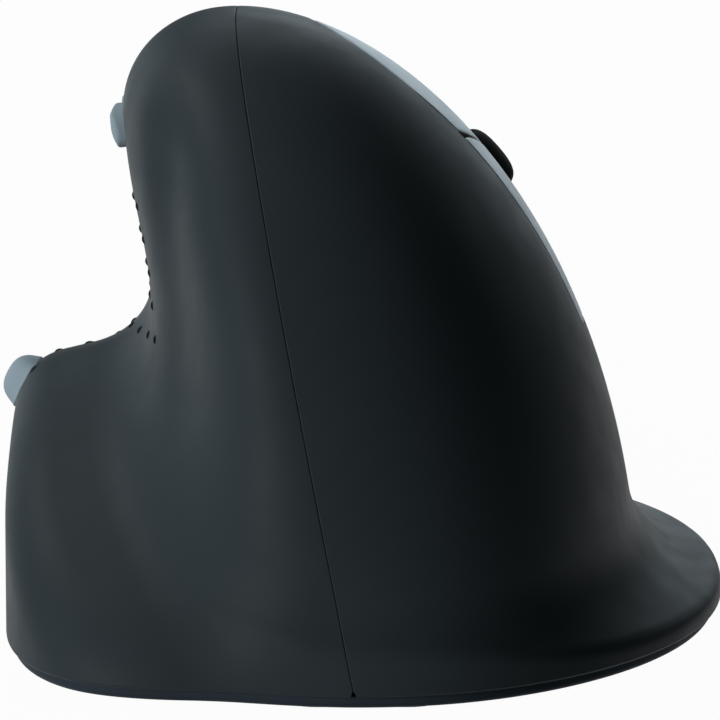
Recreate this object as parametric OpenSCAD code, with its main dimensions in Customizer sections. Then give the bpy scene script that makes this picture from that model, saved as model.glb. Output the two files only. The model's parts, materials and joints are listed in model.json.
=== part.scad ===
// Vertical ergonomic mouse for the right hand, free of any cord.
// X runs to the right (finger side), Y forward (nose), Z up from the desk. Millimetres.

/* [Body] */
// Length from heel to nose
body_l = 101; // [96:0.5:108]
// Height of the crest above the desk
body_h = 62.5; // [60:0.5:66]
// Reach of the thumb block to the left of the middle
thumb_reach = 36.1; // [35:0.1:38]
// Reach of the little-finger flange to the right of the middle
flange_reach = 37.3; // [36:0.1:40]
// Thickness of the housing walls
wall = 2; // [1.6:0.1:2.4]
// Gap between the two housings along their seam
seam_gap = 0.2; // [0.1:0.05:0.4]
// Height of the housings' lower edge above the desk
skirt_z = 1.8; // [1.6:0.1:2.2]

/* [Palm hump] */
// Sideways position of the seam at desk level
seam_x0 = -0.4; // [-1:0.1:1]
// Sideways lean of the seam per millimetre of height
seam_lean = 0.2; // [0.16:0.01:0.24]
// Half axis of the flank's ellipse, from the crest to the right
flank_axis = 41.4; // [40:0.2:44]
// How full the flank's ellipse is
flank_fullness = 1.8; // [1.7:0.05:2]
// Fore-and-aft position of the crest
crest_y = -5; // [-8:0.5:-2]
// Sideways position of the wall above the thumb
thumb_wall_x = -24.7; // [-26:0.1:-23.5]
// Depth of the hollow for the thumb in that wall
scoop = 2.9; // [2.3:0.1:3.5]
// Height of the middle of the thumb's hollow
scoop_z = 33; // [31:0.5:35]
// Height over which the thumb's hollow fades
scoop_reach = 12; // [10:0.5:14]
// Height at which the top starts to round over, as a share of the body's height
round_at = 0.832; // [0.808:0.008:0.856]
// How far forward of the crest the wall above the thumb is widest, at desk level
wall_forward = 4; // [2:0.5:6]
// Squareness of the hump's outline (2 is an ellipse)
hump_square = 2.2; // [2:0.05:2.4]
// Depth of the groove behind the thumb
web_depth = 2; // [0:0.1:2.6]
// Direction of that groove round the crest, in degrees
web_angle = 246; // [242:1:250]
// Half width of that groove, in degrees
web_spread = 10; // [8:0.5:14]

/* [Thumb block] */
// Height of the shelf under the thumb, next to the wall at its highest place
shelf_z = 27.2; // [26.6:0.2:28]
// Fore-and-aft position of the shelf's highest place
shelf_y = 4; // [2:0.5:6]
// Arch of the shelf toward the heel, per square millimetre
shelf_bow = 0.009; // [0.007:0.0005:0.011]
// Fall of the shelf outward, per millimetre
shelf_fall = 0.24; // [0.16:0.02:0.32]
// Fall of the shelf toward the nose, per millimetre
shelf_dip = 0.2; // [0.16:0.02:0.24]
// Rounding of the shelf's outer shoulder
shelf_round = 5; // [3.5:0.5:7]
// Blend between the thumb block and the hump
block_blend = 6.5; // [5.5:0.5:8]
// How far the thumb block stays behind the nose
block_back = 16; // [14:0.5:20]

/* [Flange] */
// Height of the flange's rim above the desk
rim_z = 3.8; // [3.2:0.1:4.6]
// Rise of the flange inward, per millimetre
flange_rise = 0.25; // [0.18:0.01:0.32]
// Rounding of the rim's upper edge
rim_round = 1.4; // [1:0.1:2]
// Blend between the flange and the hump
flange_blend = 7; // [6:0.5:9]

/* [Finger buttons] */
// Rear edge of both finger buttons
button_rear_y = -9; // [-10:0.5:-7]
// How far both finger buttons stay behind the nose
button_back = 8; // [7:0.5:12]
// Lower edge of the lower button, degrees round the flank
low_edge_angle = 27; // [25:0.5:30]
// Slit between the buttons at its rear end, in degrees
slit_rear_angle = 63.8; // [62:0.2:66]
// Slit between the buttons at the wheel, in degrees
slit_wheel_angle = 55.2; // [53:0.2:57]
// Upper edge of the upper button along the crest, in degrees
top_edge_angle = 87; // [85:0.5:88]
// How far that edge comes down at its rear corner, in degrees
top_corner_drop = 12; // [9:0.5:14]
// Thickness of the button caps
cap_t = 1.8; // [1.5:0.1:2]
// Gap round the button caps
cap_gap = 0.45; // [0.4:0.05:0.6]
// Gap above and below the pair of caps, where they slide along the housing
edge_gap = 0.85; // [0.8:0.05:1]
// Turn of a button when it is pressed, in degrees
button_turn = 0.8; // [0.6:0.1:0.9]

/* [Scroll wheel] */
// Radius of the scroll wheel over its tyre
wheel_r = 8.6; // [8.2:0.1:9]
// Width of the scroll wheel
wheel_w = 6.6; // [6:0.1:7]
// How far the wheel stands out of the flank
wheel_proud = 1.6; // [1.2:0.1:2]
// Fore-and-aft position of the wheel
wheel_y = 12; // [11:0.5:13]
// Turn of the wheel's outward direction up from the skin's own, in degrees
flank_turn = 2.8; // [2:0.2:4]
// Thickness of the rubber tyre
tyre_t = 2; // [1.9:0.1:2.2]
// Height of the tyre's rounded crown
tyre_crown = 1.8; // [1.2:0.1:1.8]
// Radius of the wheel's axle
axle_r = 1.2; // [1:0.1:1.4]
// Travel of the wheel when it is clicked
click_travel = 0.4; // [0.3:0.05:0.5]

/* [Thumb and speed buttons] */
// Rear end of the pair of thumb buttons
thumb_y0 = -5; // [-6:0.5:-4]
// Length of each thumb button
thumb_l = 10.5; // [9.5:0.5:11]
// Height of each thumb button
thumb_h = 2.8; // [2.6:0.1:3.2]
// Gap between the two thumb buttons
thumb_gap = 1.2; // [1:0.1:1.6]
// Height of the thumb buttons' middle at their rear end, as a share of the body's height
thumb_at = 0.794; // [0.786:0.002:0.802]
// Fall of the thumb buttons toward the nose, per millimetre
thumb_fall = 0; // [-0.04:0.01:0.04]
// How far the thumb buttons stand proud
thumb_proud = 1.5; // [1.2:0.1:1.8]
// Middle of the speed button along the shoulder
speed_y = 3; // [0:0.5:5]
// Length of the speed button
speed_l = 13; // [11:0.5:14]
// Width of the speed button round the shoulder, in degrees
speed_spread = 32; // [28:1:36]
// Direction of the speed button from the shoulder's core, in degrees
speed_angle = 147; // [144:1:150]
// How far the speed button stands proud
speed_proud = 1.7; // [1.4:0.1:2]
// Travel of the thumb and speed buttons
key_travel = 0.35; // [0.25:0.05:0.4]
// Gap round the thumb and speed buttons
key_gap = 0.5; // [0.4:0.05:0.6]

/* [Base] */
// Thickness of the glide feet that stands below the base plate
foot_drop = 0.5; // [0.4:0.1:0.7]
// How far the base plate lies inside the housings' lower edge
base_inset = 0.7; // [0.5:0.1:1]
// Radius of the battery cell
cell_r = 7; // [6.5:0.1:7.2]
// Length of the battery cell
cell_l = 43; // [40:1:45]
// Height of the main board's underside above the desk
board_z = 7; // [6.6:0.1:7.4]
// Travel of the power slider
slider_travel = 3; // [2:0.5:3.5]
// Radius of the shank of the screws
screw_r = 1.1; // [1:0.05:1.2]
// Radius of the button hinge pin
pin_r = 1; // [0.9:0.05:1.2]
// Radial clearance of running fits
fit = 0.05; // [0.03:0.01:0.08]

/* [Hidden] */

// Colours
black = [0.16, 0.18, 0.19];
grey = [0.62, 0.66, 0.7];
steel = [0.7, 0.7, 0.72];
green = [0.1, 0.35, 0.2];
dark = [0.1, 0.1, 0.11];
white = [0.9, 0.9, 0.88];
copper = [0.75, 0.5, 0.25];

// Ends of the body; the blends add a little to the heel and the nose
heel_y = 1.5 - body_l / 2;
nose_y = body_l / 2 - 0.5;
crest_x = seam_x0 - seam_lean * body_h;
round_z = round_at * body_h;
thumb_z = thumb_at * body_h;
button_front_y = nose_y - button_back;
// Groove behind the thumb: heights between which it fades in and out
web_low = 18;
web_high = 58;
web_fade = 9;
// Thumb block: middle of its outline and the straight stretch of its side
block_x = -14;
block_y1 = -15;
block_y2 = 6;
block_square = 2.8;
block_right = 14;
block_heel = 1.5;
block_rise = 46;
shelf_x = -25;
shelf_turn = 1.5;
// Flange: middle of its outline
flange_y = 0;
flange_left = 20;
flange_heel = 1.5;
flange_front = nose_y - 4;
flange_square = 2.2;
// Grids on the skin
skin_angles = 72;
skin_levels = 33;
inner_angles = 44;
inner_levels = 17;
slices = 60;
span = 90;
halvings = 18;
tiny = 0.01;
// Overlap that joins shapes of one piece, and play between pieces with flat and with round faces
lap = 0.1;
play = 0.2;
round_play = 0.3;
// How far cutters reach past the skin and past the inside of the wall
cut_out = 3;
cut_in = 1.6;

// Soft minimum and maximum of two distances
function soft_min(a, b, k) = let (h = max(k - abs(a - b), 0) / k) min(a, b) - h * h * k / 4;
function soft_max(a, b, k) = -soft_min(-a, -b, k);
function within(v, low, high) = min(max(v, low), high);

// Distance outside an outline of four quarter superellipses
function outline_gap(px, py, left, right, rear, front, square) =
    let (u = px < 0 ? -px / left : px / right)
    let (v = py < 0 ? -py / rear : py / front)
    let (rho = pow(pow(u, square) + pow(v, square), 1 / square))
    norm([px, py]) * (1 - 1 / max(rho, 1e-6));

function seam_x(z) = seam_x0 - seam_lean * z;

// Palm hump: quarter superellipses round the seam, level by level
function hump_gap(p) =
    let (rise = within(p.z / body_h, 0, 0.99999))
    let (q = sqrt(1 - rise * rise))
    let (q_flank = pow(1 - rise * rise, 1 / flank_fullness))
    let (middle = seam_x(p.z))
    let (side = thumb_wall_x + scoop * exp(-pow((p.z - scoop_z) / scoop_reach, 2)))
    let (t = within((p.z - round_z) / (body_h - round_z), 0, 0.99999))
    let (left = max(middle - crest_x - (side - crest_x) * sqrt(1 - t * t), tiny))
    let (right = max(crest_x + flank_axis * q_flank - middle, tiny))
    let (px = p.x - middle, py = p.y - crest_y)
    let (around = (atan2(py, px) + 360) % 360)
    let (fade = within((p.z - web_low) / web_fade, 0, 1) * within((web_high - p.z) / web_fade, 0, 1))
    let (dent = web_depth * fade * exp(-pow((around - web_angle) / web_spread, 2)))
    let (shift = px < 0 ? wall_forward : 0)
    let (rear = (crest_y + shift - heel_y) * q, front = (nose_y - crest_y - shift) * q)
    outline_gap(px, py - shift * q, left, right, rear, front, hump_square) + dent;

// Thumb block with its shelf, which arches toward the heel and falls toward the nose
function shelf_top(p) =
    let (d = p.y - shelf_y)
    let (arch = soft_min(-shelf_bow * pow(min(d, 0), 2), -shelf_dip * d, shelf_turn))
    shelf_z + shelf_fall * (p.x - shelf_x) + arch;
function block_gap(p) =
    let (q = sqrt(1 - pow(within(p.z / block_rise, 0, 0.999), 2)))
    let (py = p.y < block_y1 ? p.y - block_y1 : max(p.y - block_y2, 0))
    let (rear = (block_y1 - heel_y - block_heel) * q, front = nose_y - block_back - block_y2)
    let (px = p.x - block_x, left = thumb_reach + block_x)
    let (side = outline_gap(px, py, left, block_right, rear, front, block_square))
    soft_max(side, (p.z - shelf_top(p)) / sqrt(1 + shelf_fall * shelf_fall), shelf_round);

// Flange under the little finger
function flange_gap(p) =
    let (rear = flange_y - heel_y - flange_heel, front = flange_front - flange_y)
    let (px = p.x - seam_x0, py = p.y - flange_y)
    let (side = outline_gap(px, py, flange_left, flange_reach - seam_x0, rear, front, flange_square))
    soft_max(side, p.z - (rim_z - flange_rise * min(side, 0)), rim_round);

// Body without and with the flange: negative inside
function core_gap(p) = soft_min(hump_gap(p), block_gap(p), block_blend);
function skin_gap(p, core) =
    core ? core_gap(p) : soft_min(core_gap(p), flange_gap(p), flange_blend);

// Where a ray from inside the body leaves it
function reach(o, d, core, low = 0, high = span, n = halvings) =
    let (m = (low + high) / 2)
    n == 0 ? m
    : skin_gap(o + m * d, core) < 0 ? reach(o, d, core, m, high, n - 1)
    : reach(o, d, core, low, m, n - 1);
function hit(o, d, core = true) = o + reach(o, d, core) * d;

function unit(v) = v / norm(v);
function skin_normal(p, core = true, h = 0.02) = unit([
    skin_gap(p + [h, 0, 0], core) - skin_gap(p - [h, 0, 0], core),
    skin_gap(p + [0, h, 0], core) - skin_gap(p - [0, h, 0], core),
    skin_gap(p + [0, 0, h], core) - skin_gap(p - [0, 0, h], core)]);

// One line up the skin at a given direction round the crest, evenly divided
function lift(i, n) = skirt_z + (body_h - skirt_z) * sin(90 * i / n);
function column(a, levels, core) =
    let (line = [for (i = [0 : slices])
        let (z = lift(min(i, slices - 0.02), slices))
        hit([seam_x(z), crest_y, z], [cos(a), sin(a), 0], core)])
    let (runs = [for (i = 0, s = 0; i <= slices;
        s = s + (i < slices ? norm(line[i + 1] - line[i]) : 0), i = i + 1) s])
    [for (k = [0 : levels - 1]) let (s = runs[slices] * k / levels)
        [for (c = [0 : 2]) lookup(s, [for (i = [0 : slices]) [runs[i], line[i][c]]])]];

// Closed body from rings of points, the last ring drawn together in one point
module ring_body(rings, top) {
    n = len(rings[0]);
    m = len(rings);
    points = concat([for (ring = rings, p = ring) p], [top]);
    sides = [for (i = [0 : m - 2], j = [0 : n - 1]) let (k = (j + 1) % n) each [
        [i * n + j, i * n + n + j, i * n + k],
        [i * n + k, i * n + n + j, i * n + n + k]]];
    crown = [for (j = [0 : n - 1]) [(m - 1) * n + j, m * n, (m - 1) * n + (j + 1) % n]];
    polyhedron(points, concat([[for (j = [0 : n - 1]) j]], sides, crown));
}

// Outside of the body
module body_solid() {
    columns = [for (j = [0 : skin_angles - 1]) column(360 * j / skin_angles, skin_levels, false)];
    rings = [for (i = [0 : skin_levels - 1]) [for (line = columns) line[i]]];
    ring_body(rings, [crest_x, crest_y, body_h]);
}

// Hollow of the body, open below
module body_hollow() {
    columns = [for (j = [0 : inner_angles - 1]) column(360 * j / inner_angles, inner_levels, true)];
    inner = [for (i = [0 : inner_levels - 1]) [for (line = columns)
        line[i] - wall * skin_normal(line[i])]];
    below = [for (p = inner[0]) [p.x, p.y, skirt_z - 1]];
    floor_ring = [for (p = inner[0]) [p.x, p.y, skirt_z + 0.2]];
    rest = [for (i = [1 : inner_levels - 1]) inner[i]];
    ring_body(concat([below, floor_ring], rest), [crest_x, crest_y, body_h - wall]);
}

// Half of space on one side of the seam (side -1 left, 1 right)
module seam_side(side) {
    far = side * span;
    off = side * seam_gap / 2;
    rotate([90, 0, 0])
        linear_extrude(height = 2 * span, center = true)
        polygon([[far, -span], [seam_x(-span) + off, -span], [seam_x(span) + off, span], [far, span]]);
}

// Closed patch between two layers of points, each layer a list of rows
module layer_body(outer, inner) {
    n = len(outer[0]);
    m = len(outer);
    size = n * m;
    points = concat([for (row = outer, p = row) p], [for (row = inner, p = row) p]);
    skin = [for (i = [0 : m - 2], j = [0 : n - 2]) let (a = i * n + j) each [
        [a, a + 1, a + n], [a + 1, a + n + 1, a + n],
        [size + a, size + a + n, size + a + 1], [size + a + 1, size + a + n, size + a + n + 1]]];
    long_edges = [for (j = [0 : n - 2]) let (b = (m - 1) * n + j) each [
        [j, size + j, j + 1], [j + 1, size + j, size + j + 1],
        [b, b + 1, size + b], [b + 1, size + b + 1, size + b]]];
    short_edges = [for (i = [0 : m - 2]) let (a = i * n, b = i * n + n - 1) each [
        [a, a + n, size + a], [a + n, size + a + n, size + a],
        [b, size + b, b + n], [b + n, size + b, size + b + n]]];
    polyhedron(points, concat(skin, long_edges, short_edges));
}

// Flank: rays from a core line along Y, and a flat frame whose Z points out of the wheel's slot
core_x = -8;
core_z = 14;
top_turn_y = 5;
front_turn_y = 28;
front_drop = 12;
wheel_ray = [cos(slit_wheel_angle), 0, sin(slit_wheel_angle)];
wheel_skin = hit([core_x, wheel_y, core_z], wheel_ray);
wheel_out = skin_normal(wheel_skin);
flank_tilt = atan2(wheel_out.x, wheel_out.z) - flank_turn;
deep = 20;

function flank_point(y, a) = hit([core_x, y, core_z], [cos(a), 0, sin(a)]);
function flank_place(x, y, z) = [
    wheel_skin.x + x * cos(flank_tilt) + z * sin(flank_tilt), y,
    wheel_skin.z - x * sin(flank_tilt) + z * cos(flank_tilt)];
function flank_depth(x, y) =
    reach(flank_place(x, y, -deep), [sin(flank_tilt), 0, cos(flank_tilt)], true) - deep;
function late(y, from, to) = pow(within((y - from) / (to - from), 0, 1), 2);
function slit_angle(y) = slit_rear_angle
    + (slit_wheel_angle - slit_rear_angle) * (y - button_rear_y) / (wheel_y - button_rear_y);
function low_angle(y) = low_edge_angle + front_drop * late(y, front_turn_y, button_front_y);
function top_angle(y) = top_edge_angle - top_corner_drop * late(y, top_turn_y, button_rear_y)
    - front_drop * late(y, front_turn_y, button_front_y);

module on_flank() {
    translate([wheel_skin.x, 0, wheel_skin.z])
        rotate([0, flank_tilt, 0])
        children();
}

// Layer of points on the flank between two edges, moved out along the skin's normals
function flank_layer(part, gap, off, ny, na) = [for (i = [0 : ny])
    let (y = button_rear_y + gap + (button_front_y - button_rear_y - 2 * gap) * i / ny)
    let (r = norm(flank_point(y, slit_angle(y)) - [core_x, y, core_z]))
    let (turn = gap / r * 180 / PI, edge_turn = gap > 0 ? edge_gap / r * 180 / PI : 0)
    let (low = part == "upper" ? slit_angle(y) + turn : low_angle(y) + edge_turn)
    let (high = part == "lower" ? slit_angle(y) - turn : top_angle(y) - edge_turn)
    [for (j = [0 : na]) let (p = flank_point(y, low + (high - low) * j / na)) p + off * skin_normal(p)]];

cap_rows = 24;
cap_columns = 11;

// Thumb buttons: patches on the wall above the thumb (which 0 back, 1 forward)
thumb_mid_y = thumb_y0 + thumb_l + thumb_gap / 2;
function thumb_line(y) = thumb_z - thumb_fall * (y - thumb_y0);
function thumb_point(y, s) = let (z = thumb_line(y) + s) hit([seam_x(z), y, z], [-1, 0, 0]);
function swell(u, v) = (1 - pow(abs(u), 5)) * (1 - pow(abs(v), 4));
function thumb_start(which) = thumb_y0 + which * (thumb_l + thumb_gap);
function thumb_layer(which, grow, off, proud, ny = 10, ns = 8, meet = undef) = [for (i = [0 : ny])
    let (inner_grow = is_undef(meet) ? grow : meet)
    let (rear = which == 0 ? grow : inner_grow, front = which == 1 ? grow : inner_grow)
    let (u = 2 * i / ny - 1, y = thumb_start(which) - rear + (thumb_l + rear + front) * i / ny)
    [for (j = [0 : ns]) let (v = 1 - 2 * j / ns, p = thumb_point(y, v * (thumb_h / 2 + grow)))
        p + (off + proud * swell(u, v)) * skin_normal(p)]];
thumb_mid = thumb_point(thumb_mid_y, 0);
thumb_out = skin_normal(thumb_mid);
thumb_pitch = acos(thumb_out.z);
thumb_yaw = atan2(thumb_out.y, thumb_out.x);
thumb_side = [-sin(thumb_yaw), cos(thumb_yaw), 0];
thumb_down = cross(thumb_side, thumb_out);
function thumb_local(p) = let (d = p - thumb_mid) [d * thumb_down, d * thumb_side, d * thumb_out];
function thumb_spot(which) = thumb_local(thumb_point(thumb_start(which) + thumb_l / 2, 0));

module on_thumb() {
    translate(thumb_mid)
        rotate([0, thumb_pitch, thumb_yaw])
        children();
}

// Speed button: a patch round the shoulder of the thumb shelf
shoulder_in = 9.1;
shoulder_x = shoulder_in - thumb_reach;
shoulder_z = 17;
function speed_point(y, a) = hit([shoulder_x, y, shoulder_z], [cos(a), 0, sin(a)]);
speed_mid = speed_point(speed_y, speed_angle);
speed_r = norm([speed_mid.x - shoulder_x, speed_mid.z - shoulder_z]);
function speed_layer(grow, off, proud, ny = 10, na = 8) = [for (i = [0 : ny])
    let (u = 2 * i / ny - 1, y = speed_y + u * (speed_l / 2 + grow))
    let (half = speed_spread / 2 + grow / speed_r * 180 / PI)
    [for (j = [0 : na]) let (v = 2 * j / na - 1, p = speed_point(y, speed_angle + v * half))
        p + (off + proud * swell(u, v)) * skin_normal(p)]];

module on_shoulder() {
    translate(speed_mid)
        rotate([0, 90 - speed_angle, 0])
        children();
}

// Heights in the flank's frame, all below the skin at the wheel
axle_z = wheel_proud - wheel_r;
hinge_y = -6;
hinge_z = -6;
board_t = 1.2;
finger_top = -15;
finger_rest = finger_top - board_t;
frame_top = finger_rest - 1.5;
frame_t = 2;
switch_h = 6.5;
switch_w = 5.8;
switch_l = 12.8;
switch_top = finger_top + switch_h;
plunger_h = 0.6;
plunger_y = wheel_y + 2.5;
plunger_w = 1.4;
plunger_l = 2.6;
plunger_in = 1.2;
touch = 0.1;
arm_t = 1.6;
arm_bottom = switch_top + plunger_h + 1.3;
arm_w = 4;
arm_front = plunger_y + 1.2;
knuckle_r = 2.2;
upper_x = -11;
lower_x = 12.4;
button_press = (plunger_y - hinge_y) * tan(button_turn);
frame_x0 = -15.4;
frame_x1 = 16.8;
frame_y0 = -9.5;
frame_from_nose = 22;
frame_y1 = nose_y - frame_from_nose;
pin_x0 = frame_x0 + 0.3;
pin_x1 = frame_x1 - 0.3;
lug_t = 1.8;
lug_over = 0.7;

// Bosses under the housings and columns under the finger frame, each with a screw from below
pad_z = skirt_z + 1.6;
pad_r = 3.2;
boss_r = 3;
boss_top = 13;
boss_in = wall + pad_r + 0.4;
web_t = 1.2;
pilot = screw_r + lap;
screw_l = 8;
head_r = 2.3;
head_h = 1.1;
head_z = foot_drop + 0.3;
left_boss_angles = [224, 122];
right_boss_angles = [304, 47];
column_spots = [[9, -4], [9, 22]];
function boss_spot(a) =
    let (p = hit([seam_x(pad_z), crest_y, pad_z], [cos(a), sin(a), 0]), n = skin_normal(p))
    [p.x, p.y] - boss_in * unit([n.x, n.y]);
left_spots = [for (a = left_boss_angles) boss_spot(a)];
right_spots = [for (a = right_boss_angles) boss_spot(a)];
screw_spots = concat(left_spots, right_spots, column_spots);

// Inner pieces on the base
main_from_thumb = 21.1;
main_x0 = main_from_thumb - thumb_reach;
main_x1 = 4;
main_from_heel = 21;
main_from_nose = 25;
socket_from_nose = 7;
tongue_back = 3;
main_y0 = heel_y + main_from_heel;
main_y1 = nose_y - main_from_nose;
socket_y = nose_y - socket_from_nose;
tongue_y = socket_y - tongue_back;
strap_w = 8;
strap_t = 1.2;
strap_back = 12;
cell_x = main_x0 - cell_r - fit - strap_t - round_play;
cell_y = -2;
cell_z = skirt_z + round_play + cell_r;
main_top = board_z + board_t;
socket_x = -8.4;
socket_w = 9;
tongue_x0 = socket_x - socket_w / 2;
tongue_x1 = socket_x + socket_w / 2;
socket_h = 3.3;
socket_l = 7.4;
socket_gap = 0.4;
sensor_x = -6;
sensor_y = 4;
slider_from_side = 4;
slider_x = main_x0 + slider_from_side;
slider_from_rear = 10;
slider_y = main_y0 + slider_from_rear;
slider_w = 2.8;
slider_l = 4;
main_edge = 2.5;
main_spots = [for (x = [main_x0 + main_edge, main_x1 - main_edge])
    for (y = [main_y0 + main_edge, main_y1 - main_edge]) [x, y]];
small_screw_r = 0.8;
small_head_r = 1.6;
small_head_h = 1;
post_r = 1.9;
key_post_r = 1.5;

// Thumb and speed boards, below the skin in their own frames
key_flange = 1;
key_rim = 1;
key_flange_gap = 0.7;
key_switch_h = 2.6;
key_switch_w = 6;
key_plunger_r = 1.6;
key_plunger_h = 0.5;
key_plunger_in = 0.5;
key_board_t = 1;
key_stem_r = 1.4;
thumb_plunger_z = -(wall + 2.8);
thumb_board_z = thumb_plunger_z - key_plunger_h - key_switch_h;
thumb_post_y = thumb_l + thumb_gap / 2 + key_rim + key_post_r + 0.4;
speed_plunger_z = -(wall + 2.5);
speed_board_z = speed_plunger_z - key_plunger_h - key_switch_h;
speed_post_y = speed_l / 2 + key_rim + key_post_r + 0.4;

// Small screw standing on a board, head up
module small_screw(depth) {
    cylinder(h = small_head_h, r = small_head_r, $fn = 32);
    translate([0, 0, -depth])
        cylinder(h = depth + 0.1, r = small_screw_r, $fn = 24);
}

// Cross of tapered webs round a boss
module boss_webs() {
    for (a = [45 : 90 : 315])
        rotate([0, 0, a])
        hull() {
            translate([0, -web_t / 2, pad_z + 0.4])
                cube([2 * boss_r, web_t, 1]);
            translate([0, -web_t / 2, pad_z + 0.4])
                cube([boss_r, web_t, boss_top - pad_z - 1]);
        }
}

// Boss with its webs, before the hole for its screw
module boss(spot) {
    translate([spot.x, spot.y, 0]) {
        translate([0, 0, pad_z])
            cylinder(h = boss_top - pad_z, r = boss_r, $fn = 32);
        boss_webs();
    }
}

module boss_hole(spot) {
    translate([spot.x, spot.y, pad_z - 1])
        cylinder(h = screw_l + 2, r = pilot, $fn = 24);
}

module thumb_posts(r, from, to) {
    on_thumb()
        for (side = [-1, 1])
        translate([0, side * thumb_post_y, thumb_board_z + from])
        cylinder(h = to - from, r = r, $fn = 24);
}

module speed_posts(r, from, to) {
    on_shoulder()
        for (side = [-1, 1])
        translate([0, side * speed_post_y, speed_board_z + from])
        cylinder(h = to - from, r = r, $fn = 24);
}

// Thumb-side housing
module left_housing() color(black) {
    difference() {
        intersection() {
            body_solid();
            seam_side(-1);
        }
        difference() {
            body_hollow();
            for (spot = left_spots) boss(spot);
            thumb_posts(key_post_r, 0, deep);
            speed_posts(key_post_r, 0, deep);
        }
        for (spot = left_spots) boss_hole(spot);
        thumb_posts(small_screw_r + lap, -1, 4);
        speed_posts(small_screw_r + lap, -1, 3);
        for (which = [0, 1])
            layer_body(thumb_layer(which, key_gap, cut_out, 0, 5, 4),
                thumb_layer(which, key_gap, -wall - cut_in, 0, 5, 4));
        layer_body(speed_layer(key_gap, cut_out, 0, 5, 4), speed_layer(key_gap, -wall - cut_in, 0, 5, 4));
        translate([socket_x, nose_y, main_top + socket_h / 2])
            cube([socket_w + 2 * socket_gap, 20, socket_h + 2 * socket_gap], center = true);
    }
}

// Palm-side housing with the opening for the finger buttons
module right_housing() color(black) {
    difference() {
        intersection() {
            body_solid();
            seam_side(1);
        }
        difference() {
            body_hollow();
            for (spot = right_spots) boss(spot);
        }
        for (spot = right_spots) boss_hole(spot);
        layer_body(flank_layer("both", 0, cut_out, 20, 14), flank_layer("both", 0, -wall - cut_in, 20, 14));
    }
}

// Soft dots that the thumb rests on, moulded into the thumb-side housing.
// The rows fill the wall between the shelf and the thumb buttons, and the lowest one follows the shelf down.
dot_r = 0.7;
dot_sink = 0.5;
dot_pitch = 6.4;
dot_rise = 3.4;
dot_y = -14.6;
dot_count = 5;
low_dot_y = -18.4;
low_dot_fall = 0.115;
dot_clear = 1.2;
low_dot_z = shelf_z + 3.75;
row_z = low_dot_z + 2.75;
row_count = floor((thumb_z - thumb_h / 2 - dot_clear - row_z) / dot_rise) + 1;
row_dots = [for (k = [0 : row_count - 1], i = [0 : dot_count - 1]) [dot_y + i * dot_pitch, row_z + k * dot_rise]];
low_dots = [for (i = [0 : dot_count - 1])
    [low_dot_y + i * dot_pitch, low_dot_z - low_dot_fall * i * dot_pitch]];
wall_dots = [for (d = concat(low_dots, row_dots)) hit([seam_x(d[1]), d[0], d[1]], [-1, 0, 0])];
shelf_dot_pitch = 3.2;
shelf_dots = [for (i = [0 : 3], k = [0 : 2])
    hit([shelf_x - 0.7 - k * shelf_dot_pitch, 12 + i * shelf_dot_pitch, core_z], [0, 0, 1])];
module grip_dots() color(dark) {
    for (p = concat(wall_dots, shelf_dots))
        translate(p - dot_sink * skin_normal(p))
        sphere(r = dot_r, $fn = 24);
}

// Outline of the body at its lower edge, moved inward
base_points = 64;
function base_outline(inset, core) = [for (j = [0 : base_points - 1])
    let (a = 360 * j / base_points, z = skirt_z)
    let (p = hit([seam_x(z), crest_y, z], [cos(a), sin(a), 0], core), n = skin_normal(p, core))
    [p.x, p.y] - inset * unit([n.x, n.y])];

foot_l = 16;
foot_w = 7;
foot_seat = 0.3;
foot_t = foot_drop + foot_seat;
foot_from_heel = 6;
foot_from_nose = 10;
foot_from_side = 6;
foot_spots = [[0, heel_y + foot_from_heel, 0], [0, nose_y - foot_from_nose, 0],
    [foot_from_side - thumb_reach, -2, 90], [flange_reach - foot_from_side, 2, 90]];

module at_feet() {
    for (spot = foot_spots)
        translate([spot.x, spot.y, 0])
        rotate([0, 0, spot.z])
        children();
}

// Stadium outline of a glide foot
module foot_shape(grow, h) {
    half = (foot_l - foot_w) / 2;
    for (side = [-1, 1])
        translate([side * half, 0, 0])
        cylinder(h = h, r = foot_w / 2 + grow, $fn = 40);
    translate([-half, -foot_w / 2 - grow, 0])
        cube([2 * half, foot_w + 2 * grow, h]);
}

module glide_feet() color(dark) {
    at_feet() foot_shape(0, foot_t);
}

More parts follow.
